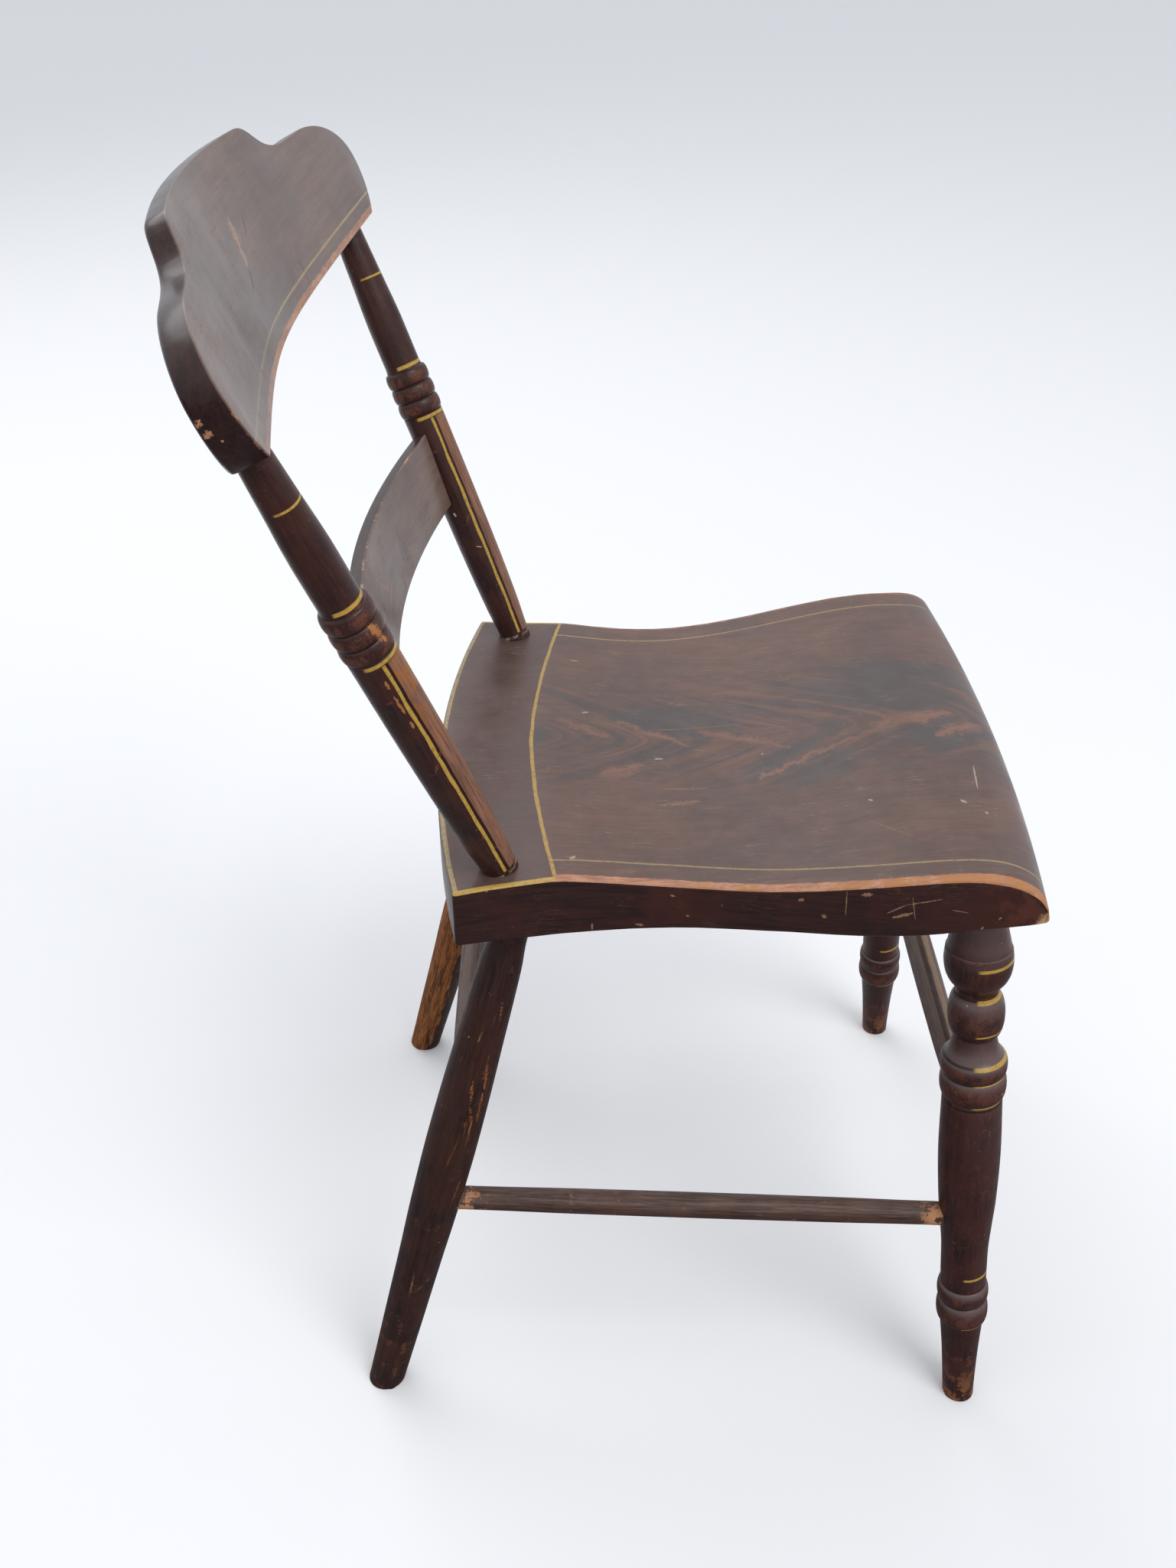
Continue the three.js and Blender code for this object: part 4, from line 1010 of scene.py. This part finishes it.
def board_finish(name, lean, origin, bow, crest, shine):
    """The bowed boards of the back: a dull front face painted pale grey, partly its paint and partly painted sheen,
    glossy dark edges and a plain back.
    """
    material, bench = new_finish(name)
    place = bench.place(tuple(placed(origin)), (-lean, 0.0, 0.0))
    s, across, v = bench.split(place)
    depth = bench.minus(across, bow(bench, s))
    face = bench.gather(s, 0.0, v)
    front = bench.rise(depth, 1.5, 0.7)
    edge_zone = bench.within(depth, 0.15, 1.7, 0.15)
    cloud = bench.rise(bench.noise(face, 0.012, 4, 0.6), 0.34, 0.66)
    brushed = bench.use(GRAIN, place=face, squeeze=(0.1, 1.0, 1.0), fineness=0.14, low=0.36, high=0.64)
    # The face is paler and greyer than the dark edges: partly its paint, partly painted sheen.
    colour = bench.blend(cloud, tone(96, 80, 74), tone(120, 97, 87))
    colour = bench.blend(bench.product(brushed, 0.4), colour, tone(76, 60, 56))
    edge_grain = bench.use(GRAIN, place=place, squeeze=(0.1, 1.0, 0.5), fineness=0.3, low=0.38, high=0.62)
    edge_colour = bench.blend(edge_grain, tone(38, 22, 22), tone(56, 32, 29))
    hairs = bench.use(HAIRLINES, place=face, squeeze=(0.06, 1.0, 1.0), amount=0.4)
    chips = bench.use(CHIPS, place=place, spacing=26.0, share=0.2, size=0.9)
    if crest:
        # Traces of the painted ornament that has nearly gone
        tan_trace = marks(bench, face, CREST_TAN_TRACES, 0.8, 1.6)
        dark_trace = marks(bench, face, CREST_DARK_TRACES, 0.6, 0.6)
        colour = bench.blend(bench.product(tan_trace, 0.45), colour, tone(196, 148, 112))
        colour = bench.blend(bench.product(dark_trace, 0.8), colour, tone(46, 36, 34))
        kept = bench.plus(0.35, bench.product(bench.rise(s, -150.0, 120.0), 0.4))
        stripe = bench.use(STRIPE, place=face, across=bench.minus(v, 12.0), width=1.3, gaps=0.45)
        stripe = bench.product(stripe, front, kept)
        colour = bench.blend(stripe, colour, STRIPE_PALE)
        lower = bench.product(bench.rise(bench.plus(v, bench.product(bench.minus(bench.noise(face, 0.14, 4), 0.5), 2.4)),
                                         5.2, 3.6), front)
        lower = bench.product(lower, bench.plus(0.4, bench.product(bench.rise(s, -190.0, -40.0), 0.45)))
        end_face = bench.product(bench.without(front), bench.rise(s, -190.0, -200.0))
        scuffs = bench.product(marks(bench, bench.gather(0.0, across, v), CREST_END_SCUFFS, 0.8, 0.6), end_face)
        edge_colour = bench.blend(bench.product(scuffs, 0.9), edge_colour, tone(196, 142, 108))
    else:
        tan_trace = marks(bench, face, (((-4.0, 0.0, 22.0), (-16.0, 0.0, 27.0), 6.0), ((52.0, 0.0, 30.0), (40.0, 0.0, 20.0), 3.0)), 0.7)
        colour = bench.blend(bench.product(tan_trace, 0.4), colour, tone(158, 92, 76))
        stripe = 0.0
        lower = bench.product(bench.use(WORN, place=place, patch=18.0, amount=0.44, edge=0.0, soft=0.05), edge_zone)
    rub = bench.blend(edge_grain, tone(172, 118, 90), tone(206, 152, 118))
    colour = bench.blend(bench.product(hairs, 0.5), colour, tone(150, 126, 112))
    colour = bench.blend(bench.without(front), colour, edge_colour)
    colour = bench.blend(bench.product(chips, 0.75), colour, tone(176, 138, 112))
    worn_edge = bench.use(WORN, place=place, patch=34.0, amount=0.46, edge=0.0, soft=0.05)
    worn_edge = bench.product(worn_edge, edge_zone, bench.rise(v, 56.0, 42.0))
    bare = bench.most(worn_edge, lower)
    colour = bench.blend(bench.product(bare, 0.92), colour, rub)
    # Grey on what faces up: settled dust and painted sheen.
    colour = settle_dust_and_sheen(bench, place, colour, 0.1, tone(160, 150, 144))
    patchy = uneven_gloss(bench, face, 0.03, 0.1)
    roughness = bench.plus(bench.plus(0.17, patchy), bench.product(bare, 0.2), clamp=True)
    height = bench.minus(bench.plus(bench.product(brushed, 0.14), bench.product(stripe, 0.14)),
                       bench.product(bench.most(bare, hairs), 0.45))
    finish(bench, colour, roughness, height, 0.3, shine)
    return material


def crest_bow_nodes(bench, s):
    knee = 0.45 * CREST_BOTTOM_HALF
    reach = math.hypot(CREST_BOTTOM_HALF, knee)
    away = bench.sum("SQRT", bench.plus(bench.product(s, s), knee * knee))
    return bench.product(bench.minus(reach, away), CREST_BOW / (reach - knee))


def rail_bow_nodes(bench, s):
    share = bench.sum("DIVIDE", s, rail_half(0))
    return bench.minus(bench.product(bench.minus(1.0, bench.product(share, share)), RAIL_BOW), RAIL_THICKNESS / 2)


def round_place(bench, start, end):
    """Places on a turned piece: along its axis, round it from the front, and out from its axis."""
    place = bench.place(tuple(start), tuple(lean_of(start, end).to_euler()))
    x, y, along = bench.split(place)
    front = bench.product(y, -1.0)
    radius = bench.sum("SQRT", bench.plus(bench.product(x, x), bench.product(y, y)))
    angle = bench.product(bench.sum("ARCTAN2", bench.sum("ABSOLUTE", x), front), 180 / math.pi)
    return place, x, front, along, radius, angle


def round_point(along, degrees, radius):
    angle = math.radians(degrees)
    return (radius * math.sin(angle), -radius * math.cos(angle), along)


def on_turning(listed):
    return [(round_point(*start), round_point(*end), width) for start, end, width in listed]


def rings(bench, place, along, angle, listed):
    """Half rings of yellow on the front of a turning, each a height and a width."""
    strongest = 0.0
    for height, width in listed:
        line = bench.use(STRIPE, place=place, across=bench.minus(along, height), width=width, gaps=0.3)
        strongest = bench.sum("MAXIMUM", strongest, line)
    return bench.product(strongest, bench.rise(angle, 106.0, 96.0))


def post_finish(name, start, end, near):
    material, bench = new_finish(name)
    place, _, _, along, radius, angle = round_place(bench, start, end)
    streaks = bench.use(GRAIN, place=place, squeeze=(1.0, 1.0, 0.08), fineness=0.32, low=0.38, high=0.64)
    cloud = bench.rise(bench.noise(place, 0.03, 4, 0.6), 0.38, 0.64)
    colour = bench.blend(streaks, tone(38, 22, 21), tone(60, 34, 29))
    colour = bench.blend(bench.product(cloud, 0.45), colour, tone(78, 41, 31))
    swirl = bench.use(GRAIN, place=place, squeeze=(1.0, 1.0, 0.18), fineness=0.42, low=0.56, high=0.67)
    colour = bench.blend(bench.product(swirl, 0.45), colour, tone(108, 58, 42))

    # The pale band down the front with its dark line and its yellow line
    below = bench.within(along, 4.0, 171.5, 0.6)
    arc = bench.product(angle, math.pi / 180, radius)
    edge_arc = bench.product(radius, math.radians(60))
    wander = bench.product(bench.minus(bench.noise(place, 0.05, 3), 0.5), 1.6)
    inside = bench.minus(bench.plus(arc, wander), edge_arc)
    band = bench.product(bench.rise(inside, -2.6, -3.4), below)
    dark_line = bench.product(bench.within(inside, -2.9, -1.3, 0.3), below)
    band_streaks = bench.use(GRAIN, place=place, squeeze=(1.0, 1.0, 0.05), fineness=0.55, low=0.36, high=0.62)
    band_colour = bench.blend(band_streaks, tone(98, 66, 52), tone(148, 104, 82))
    high_up = bench.product(bench.rise(along, 96.0, 160.0), bench.rise(bench.noise(place, 0.06, 4), 0.36, 0.56))
    band_colour = bench.blend(bench.product(high_up, 0.85 if near else 0.3), band_colour, tone(158, 98, 44))
    colour = bench.blend(band, colour, band_colour)
    colour = bench.blend(dark_line, colour, tone(44, 20, 18))
    stripe = bench.product(bench.use(STRIPE, place=place, across=inside, width=1.9, gaps=0.3), below)
    ring = rings(bench, place, along, angle, ((173.2, 2.2), (209.6, 2.2), (272.0, 1.3)))

    # Bead crowns and the shaft, rubbed
    beads = bench.within(along, 175.0, 206.5, 0.4)
    crown = bench.product(bench.rise(radius, 14.3, 15.0), beads)
    crown_rub = bench.use(WORN, place=place, patch=8.0, amount=0.46, edge=bench.product(crown, 0.03), soft=0.06)
    crown_rub = bench.product(crown_rub, crown)
    colour = bench.blend(bench.product(crown_rub, 0.5), colour, tone(124, 74, 54))
    # Painted shade: the quirks between the beads are darkened.
    quirks = bench.product(bench.rise(radius, 13.9, 13.4), beads)
    colour = bench.blend(bench.product(quirks, 0.8), colour, tone(30, 17, 16))
    worn = bench.use(WORN, place=place, patch=13.0, amount=0.37, edge=0.0, soft=0.035)
    chips = bench.use(CHIPS, place=place, spacing=15.0, share=0.24, size=0.8)
    colour = bench.blend(bench.product(worn, 0.5), colour, tone(124, 76, 54))
    if near:
        scuffed = marks(bench, place, on_turning(NEAR_POST_RUBS), 0.6)
        colour = bench.blend(bench.product(scuffed, 0.85), colour, tone(176, 116, 66))
    else:
        scuffed = marks(bench, place, on_turning(FAR_POST_NICKS), 0.4)
        colour = bench.blend(bench.product(scuffed, 0.8), colour, CHIP_PALE)
    colour = bench.blend(bench.most(stripe, ring), colour, STRIPE_YELLOW)
    colour = bench.blend(bench.product(chips, 0.8), colour, tone(184, 150, 126))
    seat_ring = bench.within(along, 0.6, 2.6, 0.5)
    seat_ring = bench.product(seat_ring, bench.rise(bench.noise(place, 0.3, 4), 0.4, 0.56))
    colour = bench.blend(bench.product(seat_ring, 0.7), colour, tone(176, 158, 144))
    # Grey on what faces up: settled dust and painted sheen.
    colour = settle_dust_and_sheen(bench, place, colour, 0.06, tone(150, 142, 138))
    bare = bench.most(crown_rub, bench.product(worn, 0.6), scuffed)
    patchy = uneven_gloss(bench, place, 0.09, 0.14)
    roughness = bench.plus(bench.plus(0.24, patchy), bench.product(bench.most(bare, bench.product(band, 0.6)), 0.26), clamp=True)
    height = bench.minus(bench.plus(bench.product(streaks, 0.2), bench.product(bench.most(stripe, ring), 0.18)),
                       bench.product(bench.most(bare, chips), 0.5))
    finish(bench, colour, roughness, height, 0.3, 0.3)
    return material


def front_leg_finish(name, start, end):
    material, bench = new_finish(name)
    place, _, _, along, radius, angle = round_place(bench, start, end)
    streaks = bench.use(GRAIN, place=place, squeeze=(1.0, 1.0, 0.07), fineness=0.3, low=0.38, high=0.64)
    cloud = bench.rise(bench.noise(place, 0.028, 4, 0.6), 0.38, 0.62)
    colour = bench.blend(streaks, tone(40, 22, 21), tone(62, 33, 28))
    colour = bench.blend(bench.product(cloud, 0.5), colour, tone(74, 37, 29))
    swirl = bench.use(GRAIN, place=place, squeeze=(1.0, 1.0, 0.22), fineness=0.42, low=0.55, high=0.66)
    colour = bench.blend(bench.product(swirl, 0.55), colour, tone(112, 56, 36))

    # A redder band down the front of the shaft, with a yellow line at each side of it
    shaft = bench.within(along, 124.0, 264.5, 1.0)
    arc = bench.product(angle, math.pi / 180, radius)
    inside = bench.minus(arc, bench.product(radius, math.radians(19)))
    band = bench.product(bench.rise(inside, 0.3, -0.5), shaft)
    colour = bench.blend(bench.product(band, 0.55), colour, tone(116, 64, 50))
    stripe = bench.product(bench.use(STRIPE, place=place, across=inside, width=1.5, gaps=0.55), shaft)
    ring = rings(bench, place, along, angle, ((373.6, 2.0), (346.0, 2.2), (321.8, 1.4), (299.0, 2.0), (286.2, 1.2), (268.4, 1.4),
                                              (118.8, 2.0), (74.2, 1.6)))

    # Crowns rubbed, hollows dark
    upper = bench.product(bench.rise(radius, 20.4, 21.3), bench.within(along, 268.6, 299.2, 0.4))
    ball = bench.product(bench.rise(radius, 16.6, 17.8), bench.within(along, 316.0, 346.0, 0.4))
    lower = bench.product(bench.rise(radius, 16.6, 17.6), bench.within(along, 73.2, 106.0, 0.4))
    rim = bench.within(along, 378.2, 380.2, 0.5)
    crown = bench.most(upper, ball, lower, rim)
    crown_rub = bench.use(WORN, place=place, patch=8.0, amount=0.46, edge=bench.product(crown, 0.04), soft=0.07)
    crown_rub = bench.product(crown_rub, crown)
    colour = bench.blend(bench.product(crown_rub, 0.5), colour, tone(108, 60, 46))
    # Painted sheen: faces that look up are lightened towards grey.
    colour = bench.blend(bench.product(bench.rise(bench.upward(), 0.06, 0.5), 0.5), colour, tone(122, 102, 100))
    # Painted shade: the grooves between the beads are darkened, except where a yellow ring lies in them.
    groove = bench.product(bench.most(bench.within(along, 285.8, 287.6, 0.4), bench.within(along, 91.4, 92.9, 0.4),
                                      bench.within(along, 265.2, 266.6, 0.4), bench.within(along, 298.8, 300.2, 0.4)), bench.without(ring))
    colour = bench.blend(bench.product(groove, 0.85), colour, tone(26, 14, 13))
    worn = bench.use(WORN, place=place, patch=13.0, amount=0.36, edge=bench.product(bench.rise(along, 70.0, 2.0), 0.16), soft=0.035)
    foot_wear = bench.product(worn, bench.rise(along, 34.0, 6.0))
    chips = bench.use(CHIPS, place=place, spacing=15.0, share=0.25, size=0.8)
    hairs = bench.use(HAIRLINES, place=place, squeeze=(1.0, 1.0, 0.06), amount=0.5)
    colour = bench.blend(bench.product(worn, 0.5), colour, tone(118, 68, 46))
    colour = bench.blend(bench.product(foot_wear, 0.4), colour, tone(164, 108, 66))
    colour = bench.blend(bench.product(hairs, 0.5), colour, tone(140, 104, 84))
    colour = bench.blend(bench.product(bench.most(ring, stripe), 0.95), colour, STRIPE_YELLOW)
    colour = bench.blend(bench.product(chips, 0.85), colour, tone(200, 172, 146))
    # Grey on what faces up: settled dust and painted sheen.
    colour = settle_dust_and_sheen(bench, place, colour, 0.14, tone(140, 134, 136))
    bare = bench.most(crown_rub, bench.product(worn, 0.6))
    patchy = uneven_gloss(bench, place, 0.09, 0.14)
    roughness = bench.plus(bench.plus(0.26, patchy), bench.product(bare, 0.25), clamp=True)
    height = bench.minus(bench.plus(bench.product(streaks, 0.22), bench.product(bench.most(ring, stripe), 0.2)),
                       bench.product(bench.most(bare, chips), 0.5))
    finish(bench, colour, roughness, height, 0.3, 0.25)
    return material


def rear_leg_finish(name, start, end, stripped):
    """Plain legs: the near one rubbed in streaks, the far one stripped to split bare wood at its back."""
    material, bench = new_finish(name)
    place, x, _, along, _, angle = round_place(bench, start, end)
    streaks = bench.use(GRAIN, place=place, squeeze=(1.0, 1.0, 0.06), fineness=0.34, low=0.38, high=0.64)
    cloud = bench.rise(bench.noise(place, 0.025, 4, 0.6), 0.4, 0.62)
    colour = bench.blend(streaks, tone(36, 22, 21), tone(60, 37, 31))
    colour = bench.blend(bench.product(cloud, 0.5), colour, tone(70, 39, 30))
    splinters = bench.use(GRAIN, place=place, squeeze=(1.0, 1.0, 0.09), fineness=0.5, low=0.34, high=0.6)
    ragged = bench.noise(bench.arrow("MULTIPLY", place, (1.0, 1.0, 0.2)), 0.2, 5, 0.7)
    wood = bench.blend(splinters, tone(78, 42, 24), tone(166, 104, 58))
    wood = bench.blend(bench.product(bench.rise(ragged, 0.5, 0.66), 0.75), wood, tone(60, 32, 22))
    if stripped:
        limit = bench.plus(72.0, bench.product(bench.minus(ragged, 0.5), 110.0))
        bare = bench.product(bench.rise(bench.minus(angle, limit), -4.0, 4.0), bench.rise(x, 6.0, 0.0))
    else:
        rubs = marks(bench, place, on_turning(REAR_LEG_RUBS), 0.75)
        scatter = bench.use(GRAIN, place=place, squeeze=(1.0, 1.0, 0.05), fineness=0.5, low=0.55, high=0.66)
        zone = bench.product(bench.within(along, 235.0, 345.0, 18.0), bench.within(angle, 42.0, 92.0, 12.0),
                             bench.rise(x, 2.0, -2.0))
        bare = bench.most(rubs, bench.product(scatter, zone))
    worn = bench.use(WORN, place=place, patch=14.0, amount=0.39, edge=bench.product(bench.rise(along, 110.0, 20.0), 0.07), soft=0.04)
    worn = bench.product(worn, bench.use(GRAIN, place=place, squeeze=(1.0, 1.0, 0.08), fineness=0.5, low=0.4, high=0.56))
    chips = bench.use(CHIPS, place=place, spacing=14.0, share=0.25, size=0.8)
    colour = bench.blend(bench.product(worn, 0.6), colour, tone(118, 72, 48))
    colour = bench.blend(bench.product(bare, 0.95), colour, wood)
    colour = bench.blend(bench.product(chips, 0.75), colour, tone(176, 144, 120))
    # Grey on what faces up: settled dust and painted sheen.
    colour = settle_dust_and_sheen(bench, place, colour, 0.08, tone(140, 132, 130))
    patchy = uneven_gloss(bench, place, 0.09, 0.14)
    roughness = bench.plus(bench.plus(0.36, patchy), bench.product(bench.most(bare, worn), 0.3), clamp=True)
    height = bench.minus(bench.plus(bench.product(streaks, 0.22), bench.product(splinters, bare, 0.7)),
                       bench.product(bench.most(bare, worn), bench.plus(0.4, bench.product(ragged, 0.9))))
    finish(bench, colour, roughness, height, 0.5, 0.2)
    return material


def rod_finish(name, start, end, up_axis, bands):
    """Stretchers: greyed dark paint, streaked along, more rubbed on top; bands holds painted or rubbed lengthwise bands."""
    material, bench = new_finish(name)
    place = bench.place(tuple(start), tuple(lean_of(start, end).to_euler()))
    x, y, along = bench.split(place)
    length = (end - start).length / MM
    if up_axis == "x":
        up, front = bench.product(x, -1.0), bench.product(y, -1.0)
    else:
        up, front = y, x
    angle = bench.product(bench.sum("ARCTAN2", front, up), 180 / math.pi)
    streaks = bench.use(GRAIN, place=place, squeeze=(1.0, 1.0, 0.05), fineness=0.42, low=0.36, high=0.62)
    cloud = bench.rise(bench.noise(place, 0.03, 4, 0.6), 0.38, 0.62)
    colour = bench.blend(streaks, tone(48, 31, 29), tone(84, 60, 52))
    colour = bench.blend(bench.product(cloud, 0.4), colour, tone(90, 56, 44))
    on_top = bench.rise(up, -1.0, 7.0)
    rubbed = bench.product(bench.use(GRAIN, place=place, squeeze=(1.0, 1.0, 0.04), fineness=0.6, low=0.44, high=0.62), on_top)
    colour = bench.blend(bench.product(rubbed, 0.5), colour, tone(128, 104, 92))
    for low, high, shade, strength in bands:
        rag = bench.product(bench.minus(bench.noise(bench.arrow("MULTIPLY", place, (1.0, 1.0, 0.15)), 0.16, 4), 0.5), 22.0)
        band = bench.within(bench.plus(angle, rag), low, high, 5.0)
        colour = bench.blend(bench.product(band, strength), colour, shade)
    ends = bench.most(bench.rise(along, 34.0, 16.0), bench.rise(along, length - 34.0, length - 16.0))
    broken = bench.product(bench.use(WORN, place=place, patch=9.0, amount=0.42, edge=bench.product(ends, 0.08), soft=0.03), ends)
    worn = bench.use(WORN, place=place, patch=15.0, amount=0.38, edge=0.0, soft=0.04)
    chips = bench.use(CHIPS, place=place, spacing=13.0, share=0.25, size=0.9)
    colour = bench.blend(bench.product(worn, 0.6), colour, tone(144, 100, 74))
    colour = bench.blend(bench.product(broken, 0.9), colour, tone(198, 140, 100))
    colour = bench.blend(bench.product(chips, 0.85), colour, tone(206, 184, 164))
    # Grey on what faces up: settled dust and painted sheen.
    colour = settle_dust_and_sheen(bench, place, colour, 0.12, tone(150, 142, 138))
    patchy = uneven_gloss(bench, place, 0.09, 0.14)
    roughness = bench.plus(bench.plus(0.4, patchy), bench.product(bench.most(broken, worn), 0.25), clamp=True)
    height = bench.minus(bench.product(streaks, 0.25), bench.product(bench.most(broken, worn, chips), 0.5))
    finish(bench, colour, roughness, height, 0.35, 0.25)
    return material


def wear(piece, material):
    piece.data.materials.clear()
    piece.data.materials.append(material)


def dress_seat(seat):
    """The first finish is over the whole plank, then the sides and the underside are picked out."""
    wear(seat, seat_top_finish())
    open_piece(seat)
    select_mode("FACE")
    for material, test in ((seat_side_finish(), plank_side), (seat_under_finish(), plank_under)):
        seat.data.materials.append(material)
        seat.active_material_index = len(seat.data.materials) - 1
        pick("faces", test)
        bpy.ops.object.material_slot_assign()
    close_piece()


def dress_board(board, name, lean, origin, bow, crest):
    """A finish with more shine on the face than on the edges and the back."""
    wear(board, board_finish(f"{name}_face_paint", lean, origin, bow, crest, 0.6))
    board.data.materials.append(board_finish(f"{name}_edge_paint", lean, origin, bow, crest, 0.25))
    open_piece(board)
    select_mode("FACE")
    outward = Vector((0, -math.cos(lean), math.sin(lean)))
    pick("faces", lambda face: face.normal.dot(outward) < 0.75)
    board.active_material_index = 1
    bpy.ops.object.material_slot_assign()
    close_piece()


def plank_side(face):
    out = face.normal
    return abs(out.x) > 0.8 or out.y > 0.8 or (out.z < 0 and (abs(out.x) > 0.25 or out.y > 0.3))


def plank_under(face):
    return face.normal.z < -0.2 and not plank_side(face) and face.calc_center_median().z < 0.4295


# Build the pieces and dress them

pieces = {}
SIDES = (("left", 1), ("right", -1))

def stand_legs(pattern, line, node_word, piece_word, finish_for):
    """Both legs of a pair, cut off level with the floor."""
    for word, side in SIDES:
        start, end = placed(line[0], side), placed(line[1], side)
        leg = stand_copy(pattern, f"{piece_word}_{word}", start, end)
        cut_below(leg, (0, 0, 0), (0, 0, 1))
        ease_foot(leg)
        clean_piece(leg)
        wear(leg, finish_for(f"{piece_word}_{word}_paint", start, end, side))
        pieces[f"{node_word}_{word}"] = leg
    discard(pattern)


stand_legs(turn("front_leg_pattern", front_leg_profile()), FRONT_LEG, "front_leg", "turned_leg",
           lambda name, start, end, side: front_leg_finish(name, start, end))
stand_legs(turn("rear_leg_pattern", rear_leg_profile(), 44), REAR_LEG, "rear_leg", "plain_leg",
           lambda name, start, end, side: rear_leg_finish(name, start, end, side > 0))

post_pattern = turn("post_pattern", post_profile(), 48)
crest_start = placed(crest_origin())
crest_up = Vector((0, math.sin(CREST_LEAN), math.cos(CREST_LEAN)))
for word, side in SIDES:
    start = placed(POST_SEAT, side)
    end = start + post_direction(side) * 0.3
    post = stand_copy(post_pattern, f"turned_post_{word}", start, end)
    cut_below(post, crest_start + crest_up * 0.005, -crest_up)
    clean_piece(post)
    wear(post, post_finish(f"turned_post_{word}_paint", start, end, side < 0))
    pieces[f"back_post_{word}"] = post
discard(post_pattern)


def rod_between(name, a, b, radius, end_radius, up_axis, bands):
    run = (b - a).normalized() * 6 * MM
    start, end = a + run, b - run
    pattern = turn("rod_pattern", rod_profile((end - start).length / MM, radius, end_radius), 36)
    rod = stand_copy(pattern, name, start, end)
    discard(pattern)
    wear(rod, rod_finish(f"{name}_paint", start, end, up_axis, bands))
    return rod


for word, side in SIDES:
    pieces[f"side_stretcher_{word}"] = rod_between(
        f"side_rod_{word}", placed(at_height(REAR_LEG, SIDE_ROD_REAR), side),
        placed(at_height(FRONT_LEG, SIDE_ROD_FRONT), side), 8.6, 7.9, "y", ())
pieces["front_stretcher"] = rod_between(
    "front_rod", placed(at_height(FRONT_LEG, FRONT_ROD), -1), placed(at_height(FRONT_LEG, FRONT_ROD), 1), 9.8, 8.0, "x",
    ((-20.0, 2.0, tone(40, 24, 22), 0.85), (6.0, 34.0, tone(150, 122, 98), 0.7), (-72.0, -24.0, tone(104, 86, 78), 0.45)))
pieces["rear_stretcher"] = rod_between(
    "rear_rod", placed(at_height(REAR_LEG, REAR_ROD), -1), placed(at_height(REAR_LEG, REAR_ROD), 1), 8.8, 7.8, "x",
    ((-40.0, 30.0, tone(122, 106, 96), 0.4),))

pieces["seat_plank"] = seat_plank()
dress_seat(pieces["seat_plank"])
pieces["crest_rail"] = crest_rail()
dress_board(pieces["crest_rail"], "crest", CREST_LEAN, crest_origin(), crest_bow_nodes, True)
pieces["mid_rail"] = mid_rail()
dress_board(pieces["mid_rail"], "rail", POST_LEAN, rail_origin(), rail_bow_nodes, False)

for node, piece in pieces.items():
    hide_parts(node)
    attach(piece, "root")


# Floor, lamps and camera

def studio():
    deselect_all()
    bpy.ops.mesh.primitive_plane_add(size=14, location=(1.5, 0, 0))
    floor = bpy.context.object
    floor.name = "studio_floor"
    paper, bench = new_finish("studio_paper")
    ray = bench.add("ShaderNodeLightPath").outputs
    far_side = bench.rise(bench.split(bench.add("ShaderNodeTexCoord").outputs["Object"])[0], -1.6, -0.9)
    mirrored = bench.blend(far_side, (0.22, 0.22, 0.23, 1), (0.90, 0.90, 0.91, 1))
    colour = bench.blend(ray["Is Glossy Ray"], (0.40, 0.40, 0.41, 1), mirrored)
    colour = bench.blend(ray["Is Camera Ray"], colour, (0.93, 0.93, 0.94, 1))
    shader = paper.node_tree.nodes["Principled BSDF"]
    bench.join(colour, shader.inputs["Base Color"])
    shader.inputs["Roughness"].default_value = 0.9
    floor.data.materials.append(paper)
    world = bpy.data.worlds.new("studio_sky")
    world.use_nodes = True
    world.node_tree.nodes["Background"].inputs["Color"].default_value = (0.92, 0.95, 1.0, 1)
    world.node_tree.nodes["Background"].inputs["Strength"].default_value = 0.75
    bpy.context.scene.world = world
    for name, place, size, power in (("key_lamp", (-1.6, -1.4, 2.9), 1.8, 42), ("fill_lamp", (1.8, 1.2, 2.6), 2.4, 24)):
        lamp = bpy.data.lights.new(name, "AREA")
        lamp.shape = "DISK"
        lamp.size = size
        lamp.energy = power
        stand = bpy.data.objects.new(name, lamp)
        bpy.context.scene.collection.objects.link(stand)
        stand.location = place
        stand.rotation_euler = (Vector((0, 0, 0.4)) - Vector(place)).to_track_quat("-Z", "Y").to_euler()


def camera():
    yaw, pitch, roll = math.radians(0.30), math.radians(33.96), math.radians(-0.15)
    forward = Vector((math.cos(yaw) * math.cos(pitch), -math.sin(yaw) * math.cos(pitch), -math.sin(pitch)))
    right = Vector((-math.sin(yaw), -math.cos(yaw), 0))
    up = right.cross(forward)
    right, up = math.cos(roll) * right + math.sin(roll) * up, -math.sin(roll) * right + math.cos(roll) * up
    lens = bpy.data.cameras.new("photo_camera")
    lens.lens = 36 * 2050 / 2049
    lens.sensor_width = 36
    stand = bpy.data.objects.new("photo_camera", lens)
    bpy.context.scene.collection.objects.link(stand)
    turn_matrix = Matrix((right, up, -forward)).transposed()
    stand.matrix_world = Matrix.Translation(Vector((-886.5, 63.0 + MIDDLE, 998.3)) * MM) @ turn_matrix.to_4x4()
    bpy.context.scene.camera = stand


studio()
camera()
bpy.context.scene.view_settings.view_transform = "Standard"
